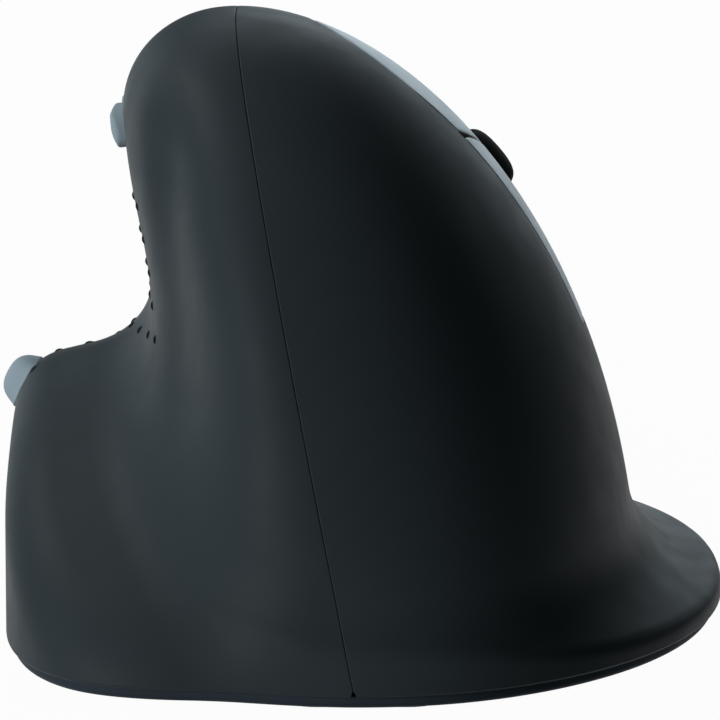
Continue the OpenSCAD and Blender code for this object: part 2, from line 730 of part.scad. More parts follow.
// Plate under both housings, with pads for the screws and seats for the inner pieces
lip_h = 1.3;
lip_t = 1.2;
saddle_t = 2;
saddle_h = 4.2;
saddle_at = 0.36;
chamfer = 0.5;
lip_gap = 0.8;
module base_plate() color(dark) {
    difference() {
        union() {
            translate([0, 0, foot_drop + chamfer])
                linear_extrude(height = skirt_z - foot_drop - chamfer)
                polygon(base_outline(base_inset, false));
            translate([0, 0, foot_drop])
                linear_extrude(height = chamfer + lap)
                polygon(base_outline(base_inset + 2 * chamfer, false));
            difference() {
                translate([0, 0, skirt_z - lap])
                    linear_extrude(height = lip_h + lap)
                    polygon(base_outline(wall + lip_gap, true));
                translate([0, 0, skirt_z])
                    linear_extrude(height = lip_h + 1)
                    polygon(base_outline(wall + lip_gap + lip_t, true));
            }
            for (spot = screw_spots)
                translate([spot.x, spot.y, skirt_z - lap])
                cylinder(h = pad_z - skirt_z + lap, r = pad_r, $fn = 40);
            for (spot = main_spots)
                translate([spot.x, spot.y, skirt_z - lap])
                cylinder(h = board_z - skirt_z + lap, r = post_r, $fn = 32);
            for (side = [-1, 1])
                translate([cell_x, cell_y + side * cell_l * saddle_at, skirt_z - lap + saddle_h / 2])
                cube([2 * cell_r, saddle_t, saddle_h], center = true);
        }
        at_feet() translate([0, 0, -lap]) foot_shape(lap, foot_t + lap);
        for (spot = screw_spots)
            translate([spot.x, spot.y, 0]) {
                cylinder(h = head_z + head_h, r = head_r + 0.2, $fn = 40);
                cylinder(h = pad_z + 1, r = pilot + 0.1, $fn = 24);
            }
        for (spot = main_spots)
            translate([spot.x, spot.y, board_z - 4])
            cylinder(h = 5, r = small_screw_r + fit, $fn = 24);
        translate([cell_x, cell_y, cell_z])
            rotate([90, 0, 0])
            cylinder(h = cell_l + 2, r = cell_r + fit, center = true, $fn = 96);
        translate([sensor_x, sensor_y, 0])
            cylinder(h = 5, r = 3.8, $fn = 48);
        translate([slider_x, slider_y, 1])
            cube([slider_w + 2 * round_play, slider_l + slider_travel + 2 * round_play, 4], center = true);
    }
}

// Screws that hold the housings and the finger frame to the base plate
module base_screws() color(steel) {
    for (spot = screw_spots)
        translate([spot.x, spot.y, head_z]) {
            cylinder(h = head_h, r = head_r, $fn = 40);
            cylinder(h = pad_z - head_z + screw_l - 1, r = screw_r, $fn = 24);
        }
}

// Slot for the wheel through the button caps
slot_gap = 0.7;
module wheel_slot() {
    on_axle() cylinder(h = wheel_w + 2 * slot_gap, r = wheel_r + slot_gap, center = true, $fn = 96);
}

module upper_button() color(grey) {
    difference() {
        layer_body(flank_layer("upper", cap_gap, 0, cap_rows, cap_columns),
            flank_layer("upper", cap_gap, -cap_t, cap_rows, cap_columns));
        wheel_slot();
    }
}

module lower_button() color(grey) {
    difference() {
        layer_body(flank_layer("lower", cap_gap, 0, cap_rows, cap_columns),
            flank_layer("lower", cap_gap, -cap_t, cap_rows, cap_columns));
        wheel_slot();
    }
}

// Lever glued under a button cap: knuckle, arm, bump over the switch and two studs
stud_r = 1.6;
stud_top = cap_t * 0.6;
stud_ys = [3, 13];
module lever(x, x0, x1) {
    on_flank()
        difference() {
            union() {
                translate([x0, hinge_y, hinge_z])
                    rotate([0, 90, 0])
                    cylinder(h = x1 - x0, r = knuckle_r, $fn = 48);
                translate([x - arm_w / 2, hinge_y, arm_bottom])
                    cube([arm_w, arm_front - hinge_y, arm_t]);
                translate([x - plunger_w, plunger_y - 1, switch_top + plunger_h + touch])
                    cube([2 * plunger_w, 2, arm_bottom - switch_top - plunger_h]);
                for (y = stud_ys)
                    translate([x, y, arm_bottom])
                    cylinder(h = flank_depth(x, y) - stud_top - arm_bottom, r = stud_r, $fn = 32);
            }
            translate([x0 - 1, hinge_y, hinge_z])
                rotate([0, 90, 0])
                cylinder(h = x1 - x0 + 2, r = pin_r + fit, $fn = 48);
        }
}

knuckle_l = 4.8;
module upper_lever() color(black) lever(upper_x, upper_x - knuckle_l / 2, upper_x + knuckle_l / 2);
module lower_lever() color(black) lever(lower_x, lower_x - knuckle_l / 2, lower_x + knuckle_l / 2);

// Steel pin that both levers turn on
module hinge_pin() color(steel) {
    on_flank()
        translate([pin_x0, hinge_y, hinge_z])
        rotate([0, 90, 0])
        cylinder(h = pin_x1 - pin_x0, r = pin_r, $fn = 48);
}

// Tilted frame behind the finger buttons, on two columns
standoff_edge = 2.2;
standoff_rear = -1;
standoff_spots = [[frame_x0 + standoff_edge, standoff_rear], [frame_x1 - standoff_edge, standoff_rear],
    [upper_x + 1.5, frame_y1 - standoff_edge], [frame_x1 - standoff_edge, frame_y1 - standoff_edge]];
guide_t = 1.5;
guide_l = 2;
guide_y = 7.2;
rail_x = wheel_w / 2 + 0.5;
rail_t = 1.4;
rail_half = wheel_r + 2.2;
rail_z0 = axle_z - 3;
rail_z1 = axle_z - 0.6;
module finger_frame() color(black) {
    difference() {
        union() {
            on_flank() {
                translate([frame_x0, frame_y0, frame_top - frame_t])
                    cube([frame_x1 - frame_x0, frame_y1 - frame_y0, frame_t]);
                for (spot = standoff_spots)
                    translate([spot.x, spot.y, frame_top - lap])
                    cylinder(h = finger_rest - frame_top + lap, r = post_r, $fn = 32);
                for (x = [frame_x0, -1, frame_x1 - lug_t])
                    translate([x, hinge_y - knuckle_r, frame_top - lap])
                    cube([lug_t, 2 * knuckle_r, hinge_z + pin_r + lug_over - frame_top]);
                for (side = [-1, 1])
                    for (end = [-1, 1])
                    translate([side * (rail_x + rail_t + round_play + guide_t / 2), wheel_y + end * guide_y,
                        (frame_top - lap + rail_z1) / 2])
                    cube([guide_t, guide_l, rail_z1 - frame_top + lap], center = true);
            }
            for (spot = column_spots)
                intersection() {
                    translate([spot.x, spot.y, pad_z])
                        cylinder(h = 40, r = boss_r, $fn = 40);
                    on_flank()
                        translate([0, 0, frame_top - frame_t / 2 - 50])
                        cube(100, center = true);
                }
        }
        for (spot = column_spots) boss_hole(spot);
        on_flank() {
            translate([frame_x0 - 1, hinge_y, hinge_z])
                rotate([0, 90, 0])
                cylinder(h = frame_x1 - frame_x0 + 2, r = pin_r + 0.02, $fn = 48);
            for (spot = standoff_spots)
                translate([spot.x, spot.y, frame_top - 1.5])
                cylinder(h = 5, r = small_screw_r + fit, $fn = 24);
        }
    }
}

// Circuit board of the finger side
module finger_board() color(green) {
    on_flank()
        difference() {
            translate([frame_x0 + 1, hinge_y + knuckle_r + 0.4, finger_rest])
                cube([frame_x1 - frame_x0 - 1.5, frame_y1 - hinge_y - knuckle_r - 0.4, board_t]);
            translate([0, wheel_y, finger_rest])
                cube([15.2, 17.6, 5], center = true);
            for (spot = standoff_spots)
                translate([spot.x, spot.y, finger_rest - 1])
                cylinder(h = 4, r = small_screw_r + lap, $fn = 24);
        }
}

module finger_board_screws() color(steel) {
    on_flank()
        for (spot = standoff_spots)
        translate([spot.x, spot.y, finger_top])
        small_screw(board_t + 1.5);
}

// Snap-action switch under a finger button
module snap_switch(x) {
    pocket = [plunger_w, plunger_l, 2 * (plunger_in + button_press)] + 2 * play * [1, 1, 1];
    on_flank()
        difference() {
            translate([x - switch_w / 2, wheel_y - switch_l / 2, finger_top])
                cube([switch_w, switch_l, switch_h]);
            translate([x, plunger_y, switch_top])
                cube(pocket, center = true);
        }
}

module snap_plunger(x) {
    on_flank()
        translate([x - plunger_w / 2, plunger_y - plunger_l / 2, switch_top - plunger_in])
        cube([plunger_w, plunger_l, plunger_in + plunger_h]);
}

module upper_switch() color(dark) snap_switch(upper_x);
module lower_switch() color(dark) snap_switch(lower_x);
module upper_plunger() color(white) snap_plunger(upper_x);
module lower_plunger() color(white) snap_plunger(lower_x);

module on_axle() {
    on_flank()
        translate([0, wheel_y, axle_z])
        rotate([0, 90, 0])
        children();
}

// Rubber tyre with a rounded crown
crown_steps = 8;
crown_square = 2.4;
module wheel_tyre() color(dark) {
    on_axle()
        rotate_extrude($fn = 96)
        polygon(concat(
            [[wheel_r - tyre_t, -wheel_w / 2], [wheel_r - tyre_t, wheel_w / 2]],
            [for (i = [crown_steps : -1 : -crown_steps])
                let (u = sin(90 * i / crown_steps))
                let (h = pow(max(1 - pow(abs(u), crown_square), 0), 1 / crown_square))
                [wheel_r - tyre_crown * (1 - h), u * wheel_w / 2]]));
}

module wheel_hub() color(black) {
    on_axle()
        difference() {
            cylinder(h = wheel_w - 0.6, r = wheel_r - tyre_t, center = true, $fn = 96);
            cylinder(h = wheel_w, r = axle_r, center = true, $fn = 48);
            for (side = [-1, 1])
                translate([0, 0, side * wheel_w / 2])
                difference() {
                    cylinder(h = 3, r = wheel_r - tyre_t - 1.4, center = true, $fn = 64);
                    cylinder(h = 4, r = axle_r + 1.6, center = true, $fn = 48);
                }
        }
}

axle_l = 2 * (rail_x + rail_t) + 1;
module wheel_axle() color(steel) {
    on_axle() cylinder(h = axle_l, r = axle_r, center = true, $fn = 48);
}

// Ring that carries the axle and sinks when the wheel is clicked
module wheel_carriage() color(grey) {
    on_flank()
        difference() {
            union() {
                for (side = [-1, 1])
                    translate([side * (rail_x + rail_t / 2), wheel_y, 0]) {
                        translate([-rail_t / 2, -rail_half, rail_z0])
                            cube([rail_t, 2 * rail_half, rail_z1 - rail_z0]);
                        translate([-rail_t / 2, -2.6, rail_z0])
                            cube([rail_t, 5.2, axle_z + 2.4 - rail_z0]);
                    }
                for (end = [-1, 1])
                    translate([0, wheel_y + end * (rail_half - rail_t / 2), (rail_z0 + rail_z1) / 2])
                    cube([2 * (rail_x + rail_t), rail_t, rail_z1 - rail_z0], center = true);
                translate([-2.5, hinge_y + knuckle_r + 0.6, rail_z0])
                    cube([5, wheel_y - rail_half - hinge_y - knuckle_r, 1.4]);
            }
            translate([0, wheel_y, axle_z])
                rotate([0, 90, 0])
                cylinder(h = axle_l + 4, r = axle_r + fit, center = true, $fn = 48);
        }
}

// Encoder beside the wheel, carried along by the carriage
module scroll_encoder() color(steel) {
    on_flank()
        difference() {
            translate([rail_x + rail_t, wheel_y - 4.6, rail_z0 - 1.2])
                cube([2.6, 9.2, 6.4]);
            translate([0, wheel_y, axle_z])
                rotate([0, 90, 0])
                cylinder(h = 40, r = axle_r + 0.3, center = true, $fn = 48);
        }
}

click_y = hinge_y + knuckle_r + 3.8;
click_h = 3.2;
module click_switch() color(dark) {
    on_flank()
        difference() {
            translate([0, click_y, finger_top + click_h / 2])
                cube([6, 6, click_h], center = true);
            translate([0, click_y, finger_top + click_h - key_plunger_in - click_travel - play])
                cylinder(h = 2, r = key_plunger_r + round_play, $fn = 40);
        }
}

module click_plunger() color(white) {
    on_flank()
        translate([0, click_y, finger_top + click_h - key_plunger_in])
        cylinder(h = rail_z0 - finger_top - click_h + key_plunger_in, r = key_plunger_r, $fn = 40);
}

// Cap of a thumb button with its retaining flange and stem
module thumb_cap(which) {
    layer_body(thumb_layer(which, 0, 0.2, thumb_proud - 0.2), thumb_layer(which, 0, -wall - 0.6, 0));
    layer_body(thumb_layer(which, key_rim, -wall - key_flange_gap, 0, 6, 4, 0),
        thumb_layer(which, key_rim, -wall - key_flange_gap - key_flange, 0, 6, 4, 0));
    spot = thumb_spot(which);
    on_thumb()
        translate([spot.x, spot.y, thumb_plunger_z + touch])
        cylinder(h = spot.z - thumb_plunger_z - wall - key_flange_gap - 0.3, r = key_stem_r, $fn = 32);
}

module key_plunger(z) {
    translate([0, 0, z - key_plunger_h - key_plunger_in])
        cylinder(h = key_plunger_h + key_plunger_in, r = key_plunger_r, $fn = 40);
}

module key_switch(z) {
    difference() {
        translate([0, 0, z + key_switch_h / 2])
            cube([key_switch_w, key_switch_w, key_switch_h], center = true);
        translate([0, 0, z + key_switch_h - key_plunger_in - key_travel - play])
            cylinder(h = 2, r = key_plunger_r + round_play, $fn = 40);
    }
}

module at_thumb(which) {
    spot = thumb_spot(which);
    on_thumb()
        translate([spot.x, spot.y, 0])
        children();
}

module thumb_back_button() color(grey) thumb_cap(0);
module thumb_forward_button() color(grey) thumb_cap(1);
module thumb_back_plunger() color(white) at_thumb(0) key_plunger(thumb_plunger_z);
module thumb_forward_plunger() color(white) at_thumb(1) key_plunger(thumb_plunger_z);
module thumb_switches() color(dark) for (which = [0, 1]) at_thumb(which) key_switch(thumb_board_z);

thumb_board_w = 7;
ear_w = 3.6;
module thumb_board() color(green) {
    on_thumb()
        difference() {
            translate([0, 0, thumb_board_z - key_board_t / 2]) {
                cube([thumb_board_w, 2 * thumb_l + thumb_gap + 2 * key_rim, key_board_t], center = true);
                cube([ear_w, 2 * thumb_post_y + ear_w, key_board_t], center = true);
            }
            for (side = [-1, 1])
                translate([0, side * thumb_post_y, thumb_board_z])
                cylinder(h = 4, r = small_screw_r + lap, center = true, $fn = 24);
        }
}

module thumb_board_screws() color(steel) {
    on_thumb()
        for (side = [-1, 1])
        translate([0, side * thumb_post_y, thumb_board_z - key_board_t])
        rotate([180, 0, 0])
        small_screw(3.6);
}

// Cap of the speed button on the shoulder of the thumb shelf
module speed_button() color(grey) {
    layer_body(speed_layer(0, 0.2, speed_proud - 0.2), speed_layer(0, -wall - 0.6, 0));
    layer_body(speed_layer(key_rim, -wall - key_flange_gap, 0, 6, 4),
        speed_layer(key_rim, -wall - key_flange_gap - key_flange * 0.8, 0, 6, 4));
    on_shoulder()
        translate([0, 0, speed_plunger_z + touch])
        cylinder(h = -speed_plunger_z - wall - key_flange_gap - 0.3, r = key_stem_r, $fn = 32);
}

module speed_plunger() color(white) on_shoulder() key_plunger(speed_plunger_z);
module speed_switch() color(dark) on_shoulder() key_switch(speed_board_z);

speed_board_w = 6.4;
module speed_board() color(green) {
    on_shoulder()
        difference() {
            translate([0, 0, speed_board_z - key_board_t / 2])
                cube([speed_board_w, 2 * speed_post_y + ear_w, key_board_t], center = true);
            for (side = [-1, 1])
                translate([0, side * speed_post_y, speed_board_z])
                cylinder(h = 4, r = small_screw_r + lap, center = true, $fn = 24);
        }
}

module speed_board_screws() color(steel) {
    on_shoulder()
        for (side = [-1, 1])
        translate([0, side * speed_post_y, speed_board_z - key_board_t])
        rotate([180, 0, 0])
        small_screw(2.8);
}

// Main circuit board with a narrow tongue for the charging socket
module main_board() color(green) {
    difference() {
        translate([0, 0, board_z])
            linear_extrude(height = board_t)
            polygon([[main_x0, main_y0], [main_x1, main_y0], [main_x1, main_y1], [tongue_x1, main_y1],
                [tongue_x1, tongue_y], [tongue_x0, tongue_y], [tongue_x0, main_y1], [main_x0, main_y1]]);
        for (spot = main_spots)
            translate([spot.x, spot.y, board_z - 1])
            cylinder(h = 4, r = small_screw_r + lap, $fn = 24);
        translate([sensor_x, sensor_y, board_z - 1])
            cylinder(h = 4, r = 3, $fn = 48);
    }
}

module main_board_screws() color(steel) {
    for (spot = main_spots)
        translate([spot.x, spot.y, main_top])
        small_screw(board_t + 3);
}

module sensor_chip() color(dark) {
    translate([sensor_x, sensor_y, main_top + 1.3])
        cube([10, 12, 2.6], center = true);
}

// Clear lens between the sensor and the desk
module sensor_lens() color([0.8, 0.85, 0.9]) {
    translate([sensor_x, sensor_y, 0]) {
        translate([0, 0, foot_drop + 0.4])
            cylinder(h = skirt_z - foot_drop, r = 3.5, $fn = 48);
        translate([-6, -8, skirt_z])
            cube([12, 16, board_z - skirt_z]);
    }
}

module controller_chip() color(dark) {
    translate([sensor_x, sensor_y - 15, main_top + 0.5])
        cube([7, 7, 1], center = true);
}

// Socket for the charging lead, open to the nose
module charging_socket() color(steel) {
    translate([socket_x, socket_y - socket_l / 2, main_top + socket_h / 2])
        difference() {
            cube([socket_w, socket_l, socket_h], center = true);
            translate([0, 0.8, 0])
                cube([socket_w - 0.7, socket_l, socket_h - 0.7], center = true);
        }
    translate([socket_x, socket_y - socket_l / 2 + 0.3, main_top + socket_h / 2])
        cube([6.7, socket_l - 2, 0.7], center = true);
}

module battery_cell() color(copper) {
    translate([cell_x, cell_y, cell_z])
        rotate([90, 0, 0])
        cylinder(h = cell_l, r = cell_r, center = true, $fn = 96);
}

// Band that holds the cell down on its saddles
module battery_strap() color(black) {
    translate([cell_x, cell_y - strap_back, 0])
        difference() {
            union() {
                translate([0, 0, cell_z])
                    rotate([90, 0, 0])
                    cylinder(h = strap_w, r = cell_r + fit + strap_t, center = true, $fn = 96);
                translate([-cell_r - fit - strap_t, -strap_w / 2, skirt_z])
                    cube([2 * (cell_r + fit + strap_t), strap_w, cell_z - skirt_z]);
            }
            translate([0, 0, cell_z])
                rotate([90, 0, 0])
                cylinder(h = strap_w + 2, r = cell_r + fit, center = true, $fn = 96);
            translate([-cell_r - fit, -strap_w, 0])
                cube([2 * (cell_r + fit), 2 * strap_w, cell_z]);
        }
}

// Power switch under the main board and its slider in the base plate
slider_wing_z = skirt_z + lap;
power_switch_w = 6;
power_switch_l = 10;
module power_switch() color(dark) {
    translate([slider_x, slider_y, (board_z + slider_wing_z + 1.6) / 2])
        cube([power_switch_w, power_switch_l, board_z - slider_wing_z - 1.6], center = true);
}

module power_slider() color(white) {
    translate([slider_x, slider_y - slider_travel / 2, 0]) {
        translate([-slider_w / 2, -slider_l / 2, foot_drop + 0.3])
            cube([slider_w, slider_l, slider_wing_z - foot_drop]);
        translate([-slider_w / 2 - 1.2, -slider_l / 2, slider_wing_z])
            cube([slider_w + 2.4, slider_l, 1.4]);
    }
}

// Flat ribbon along a line in the X-Z plane
ribbon_t = 0.3;
module ribbon(line, y, w) {
    n = len(line);
    sides = [for (i = [0 : n - 1])
        let (d = unit(line[min(i + 1, n - 1)] - line[max(i - 1, 0)]))
        ribbon_t / 2 * [-d.y, d.x]];
    translate([0, y + w / 2, 0])
        rotate([90, 0, 0])
        linear_extrude(height = w)
        polygon(concat([for (i = [0 : n - 1]) line[i] + sides[i]],
            [for (i = [n - 1 : -1 : 0]) line[i] - sides[i]]));
}

ribbon_w = 7;
module finger_ribbon() color(copper) {
    end = flank_place(frame_x1 - 0.5 + ribbon_t / 2, 0, finger_rest + board_t / 2);
    bend = flank_place(frame_x1 + 1.2, 0, finger_rest - 2);
    ribbon([[main_x1 - 3, main_top + ribbon_t / 2], [main_x1 + 2, main_top + ribbon_t / 2],
        [main_x1 + 6, main_top + 3], [bend.x, bend.z], [end.x, end.z]], wheel_y - 3, ribbon_w);
}

plug_l = 5;
plug_h = 2;
plug_t = 1.6;
module thumb_ribbon() color(copper) {
    end = thumb_mid + (thumb_board_z - key_board_t - plug_t + ribbon_t) * thumb_out;
    ribbon([[main_x0 + 1, main_top + ribbon_t / 2], [main_x0 + 2.5, main_top + 1],
        [end.x - 0.9, main_top + 12], [end.x - 0.9, end.z - 6], [end.x, end.z - 4], [end.x, end.z]],
        thumb_mid_y, ribbon_w);
    on_thumb()
        translate([0, 0, thumb_board_z - key_board_t - plug_t / 2])
        cube([plug_h, plug_l, plug_t], center = true);
}

left_housing();
right_housing();
base_plate();
glide_feet();
base_screws();
grip_dots();
upper_button();
upper_lever();
lower_button();
lower_lever();
hinge_pin();
finger_frame();
finger_board();
finger_board_screws();
upper_switch();
upper_plunger();
lower_switch();
lower_plunger();
wheel_tyre();
wheel_hub();
wheel_axle();
wheel_carriage();
scroll_encoder();
click_switch();
click_plunger();
thumb_back_button();
thumb_back_plunger();
thumb_forward_button();
thumb_forward_plunger();
thumb_switches();
thumb_board();
thumb_board_screws();
speed_button();
speed_plunger();
speed_switch();
speed_board();
speed_board_screws();
main_board();
main_board_screws();
sensor_chip();
sensor_lens();
controller_chip();
charging_socket();
battery_cell();
battery_strap();
power_switch();
power_slider();
finger_ribbon();
thumb_ribbon();
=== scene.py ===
"""Looks of a vertical ergonomic mouse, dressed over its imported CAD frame."""
import json
import math

import bpy
import numpy as np
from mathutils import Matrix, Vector


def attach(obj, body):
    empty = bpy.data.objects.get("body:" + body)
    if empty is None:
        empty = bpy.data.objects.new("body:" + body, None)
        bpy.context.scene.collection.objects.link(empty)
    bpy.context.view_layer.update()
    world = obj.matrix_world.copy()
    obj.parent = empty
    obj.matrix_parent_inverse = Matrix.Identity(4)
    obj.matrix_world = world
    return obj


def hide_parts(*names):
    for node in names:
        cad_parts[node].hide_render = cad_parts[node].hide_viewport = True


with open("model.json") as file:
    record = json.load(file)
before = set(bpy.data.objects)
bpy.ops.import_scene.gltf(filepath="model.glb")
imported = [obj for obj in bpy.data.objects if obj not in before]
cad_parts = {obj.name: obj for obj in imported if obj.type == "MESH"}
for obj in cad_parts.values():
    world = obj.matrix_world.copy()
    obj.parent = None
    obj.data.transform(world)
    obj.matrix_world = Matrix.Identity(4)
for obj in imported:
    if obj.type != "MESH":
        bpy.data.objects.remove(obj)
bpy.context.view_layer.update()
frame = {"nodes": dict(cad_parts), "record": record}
MM = 0.001

# Sizes in millimetres. The body is the same as in the solids. Gaps, thumb and speed caps, and the
# tyre's crown are tuned to the photograph.
BODY_H = 62.5
HEEL_Y, NOSE_Y = -49.0, 50.0
THUMB_REACH, FLANGE_REACH = 36.1, 37.3
SEAM_X0, SEAM_LEAN, SEAM_GAP = -0.4, 0.2, 0.01
SKIRT_Z = 1.8
CREST_X, CREST_Y = SEAM_X0 - SEAM_LEAN * BODY_H, -5.0
FLANK_AXIS, FLANK_FULLNESS = 41.4, 1.8
WALL_X, WALL_FORWARD, SCOOP, SCOOP_Z, SCOOP_REACH = -24.7, 4.0, 2.9, 33.0, 12.0
ROUND_Z, HUMP_SQUARE = 52.0, 2.2
WEB_DEPTH, WEB_ANGLE, WEB_SPREAD = 2.0, 246.0, 10.0
WEB_LOW, WEB_HIGH, WEB_FADE = 18.0, 58.0, 9.0
SHELF_X, SHELF_Y, SHELF_Z, SHELF_FALL = -25.0, 4.0, 27.2, 0.24
SHELF_DIP, SHELF_BOW, SHELF_TURN, SHELF_ROUND = 0.2, 0.009, 1.5, 5.0
BLOCK_X, BLOCK_Y1, BLOCK_Y2, BLOCK_SQUARE = -14.0, -15.0, 6.0, 2.8
BLOCK_RIGHT, BLOCK_HEEL, BLOCK_RISE, BLOCK_BACK, BLOCK_BLEND = 14.0, 1.5, 46.0, 16.0, 6.5
RIM_Z, FLANGE_RISE, RIM_ROUND, FLANGE_BLEND = 3.8, 0.25, 1.4, 7.0
FLANGE_Y, FLANGE_LEFT, FLANGE_HEEL, FLANGE_SQUARE = 0.0, 20.0, 1.5, 2.2
FLANGE_FRONT = NOSE_Y - 4
CORE_X, CORE_Z = -8.0, 14.0
BUTTON_REAR, BUTTON_FRONT = -9.0, 42.0
LOW_EDGE, SLIT_REAR, SLIT_WHEEL, TOP_EDGE, TOP_DROP = 27.0, 63.8, 55.2, 87.0, 12.0
TOP_TURN_Y, FRONT_TURN_Y, FRONT_DROP = 5.0, 28.0, 12.0
CAP_T, CAP_GAP, EDGE_GAP, SLIT_CORNER, SLIT_FLARE = 1.8, 0.3, 0.6, 0.5, 0.3
SLIT_FLARE_L = 6.0
FRONT_ROOM, SPEED_ROOM = 2, 2  # gaps where a pressed piece swings or leans towards the wall
OPENING_CORNER, CAP_CORNER, SLOT_CORNER, SLOT_BLEND = 5.0, 3.0, 1.5, 1.2
THUMB_CORNER, SPEED_CORNER, SOCKET_CORNER = 1.6, 2.6, 2.0
FAR_OUT = -20.0  # stands for a distance well outside an outline
WHEEL_R, WHEEL_W, WHEEL_Y, WHEEL_PROUD = 8.6, 6.6, 12.0, 1.6
TYRE_T, TYRE_CROWN, CROWN_SQUARE = 2.0, 1.4, 2.6
WHEEL_SKIN = (13.1711, 44.4612)
FLANK_TILT = math.radians(49.3323)
SLOT_GAP = 0.4
WALL, SKIRT_WALL, WALL_GROWTH = 2.0, 0.8, 0.35
THUMB_Y0, THUMB_L, THUMB_H, THUMB_GAP = -5.0, 10.5, 3.5, 1.2
THUMB_Z, THUMB_PROUD = 49.9, 1.5
SHOULDER_X, SHOULDER_Z = -27.0, 17.0
SPEED_Y, SPEED_L, SPEED_SPREAD, SPEED_ANGLE, SPEED_PROUD = 4.5, 10.0, 29.0, 147.5, 1.9
SPEED_R = 9.99
KEY_GAP, SPEED_GAP, SPEED_WALL = 0.18, 0.14, 0.6
DOT_R, DOT_SINK, DOT_PITCH, DOT_RISE = 0.7, 0.5, 6.4, 3.4
DOT_Y, DOT_Z, LOW_DOT_Y, LOW_DOT_Z, LOW_DOT_FALL = -14.6, 33.7, -18.4, 30.95, 0.115
SHELF_DOT_X, SHELF_DOT_Y, SHELF_DOT_PITCH = -25.7, 12.0, 3.2
BASE_INSET, BASE_CHAMFER, BASE_Z, RIM_IN = 0.66, 1.0, 0.48, 2.3
RIM_TURN_Z, RIM_OVERLAP = 1.2, 0.02
SOCKET_X, SOCKET_Z, SOCKET_W, SOCKET_H, SOCKET_GAP = -8.4, 9.85, 9.0, 3.3, 0.4
SPARE, SPEED_SPARE = 0.2, 0.54  # how far a grid runs past the outline that is cut from it
SEAM_ROUND, SKIRT_ROUND, OPENING_ROUND, KEY_ROUND = 0.13, 0.3, 0.35, 0.14
CAP_ROUND, THUMB_ROUND, THUMB_EDGE, SPEED_ROUND, SPEED_EDGE = 0.18, 0.35, 0.45, 0.08, 0.03
SHARP_ANGLE = math.radians(40)

# Form of the body: negative inside, about a distance outside


def soft_min(a, b, k):
    h = np.maximum(k - np.abs(a - b), 0) / k
    return np.minimum(a, b) - h * h * k / 4


def soft_max(a, b, k):
    return -soft_min(-a, -b, k)


def outline_gap(px, py, left, right, rear, front, square):
    u = np.where(px < 0, -px / left, px / right)
    v = np.where(py < 0, -py / rear, py / front)
    rho = (u**square + v**square) ** (1 / square)
    return np.hypot(px, py) * (1 - 1 / np.maximum(rho, 1e-6))


def seam_x(z):
    return SEAM_X0 - SEAM_LEAN * z


def hump_gap(x, y, z):
    rise = np.clip(z / BODY_H, 0, 0.99999)
    q = np.sqrt(1 - rise**2)
    q_flank = (1 - rise**2) ** (1 / FLANK_FULLNESS)
    middle = seam_x(z)
    side = WALL_X + SCOOP * np.exp(-(((z - SCOOP_Z) / SCOOP_REACH) ** 2))
    t = np.clip((z - ROUND_Z) / (BODY_H - ROUND_Z), 0, 0.99999)
    left = np.maximum(middle - CREST_X - (side - CREST_X) * np.sqrt(1 - t**2), 0.01)
    right = np.maximum(CREST_X + FLANK_AXIS * q_flank - middle, 0.01)
    px, py = x - middle, y - CREST_Y
    around = np.degrees(np.arctan2(py, px)) % 360
    fade = np.clip((z - WEB_LOW) / WEB_FADE, 0, 1) * np.clip((WEB_HIGH - z) / WEB_FADE, 0, 1)
    dent = WEB_DEPTH * fade * np.exp(-(((around - WEB_ANGLE) / WEB_SPREAD) ** 2))
    shift = np.where(px < 0, WALL_FORWARD, 0.0)
    rear, front = (CREST_Y + shift - HEEL_Y) * q, (NOSE_Y - CREST_Y - shift) * q
    return outline_gap(px, py - shift * q, left, right, rear, front, HUMP_SQUARE) + dent


def shelf_top(x, y):
    d = y - SHELF_Y
    arch = soft_min(-SHELF_BOW * np.minimum(d, 0) ** 2, -SHELF_DIP * d, SHELF_TURN)
    return SHELF_Z + SHELF_FALL * (x - SHELF_X) + arch


def block_gap(x, y, z):
    q = np.sqrt(1 - np.clip(z / BLOCK_RISE, 0, 0.999) ** 2)
    py = np.where(y < BLOCK_Y1, y - BLOCK_Y1, np.maximum(y - BLOCK_Y2, 0))
    rear = (BLOCK_Y1 - HEEL_Y - BLOCK_HEEL) * q
    front = NOSE_Y - BLOCK_BACK - BLOCK_Y2
    side = outline_gap(x - BLOCK_X, py, THUMB_REACH + BLOCK_X, BLOCK_RIGHT, rear, front, BLOCK_SQUARE)
    return soft_max(side, (z - shelf_top(x, y)) / math.sqrt(1 + SHELF_FALL**2), SHELF_ROUND)


def flange_gap(x, y, z):
    rear = FLANGE_Y - HEEL_Y - FLANGE_HEEL
    front = FLANGE_FRONT - FLANGE_Y
    side = outline_gap(x - SEAM_X0, y - FLANGE_Y, FLANGE_LEFT, FLANGE_REACH - SEAM_X0, rear, front, FLANGE_SQUARE)
    return soft_max(side, z - (RIM_Z - FLANGE_RISE * np.minimum(side, 0)), RIM_ROUND)


def skin_gap(p):
    x, y, z = p[..., 0], p[..., 1], p[..., 2]
    core = soft_min(hump_gap(x, y, z), block_gap(x, y, z), BLOCK_BLEND)
    return soft_min(core, flange_gap(x, y, z), FLANGE_BLEND)


def slope(field, p, h=0.02):
    """Gradient of a field at points p."""
    parts = []
    for axis in range(3):
        step = np.zeros(3)
        step[axis] = h
        parts.append((field(p + step) - field(p - step)) / (2 * h))
    return np.stack(parts, -1)


def unit(v):
    return v / np.maximum(np.linalg.norm(v, axis=-1, keepdims=True), 1e-12)


def skin_normal(p):
    return unit(slope(skin_gap, p))


def rays_out(start, way, far=90.0, halvings=26):
    """Where rays from inside the body leave it."""
    low = np.zeros(start.shape[:-1])
    high = np.full(start.shape[:-1], far)
    for _ in range(halvings):
        middle = (low + high) / 2
        inside = skin_gap(start + middle[..., None] * way) < 0
        low = np.where(inside, middle, low)
        high = np.where(inside, high, middle)
    return start + ((low + high) / 2)[..., None] * way


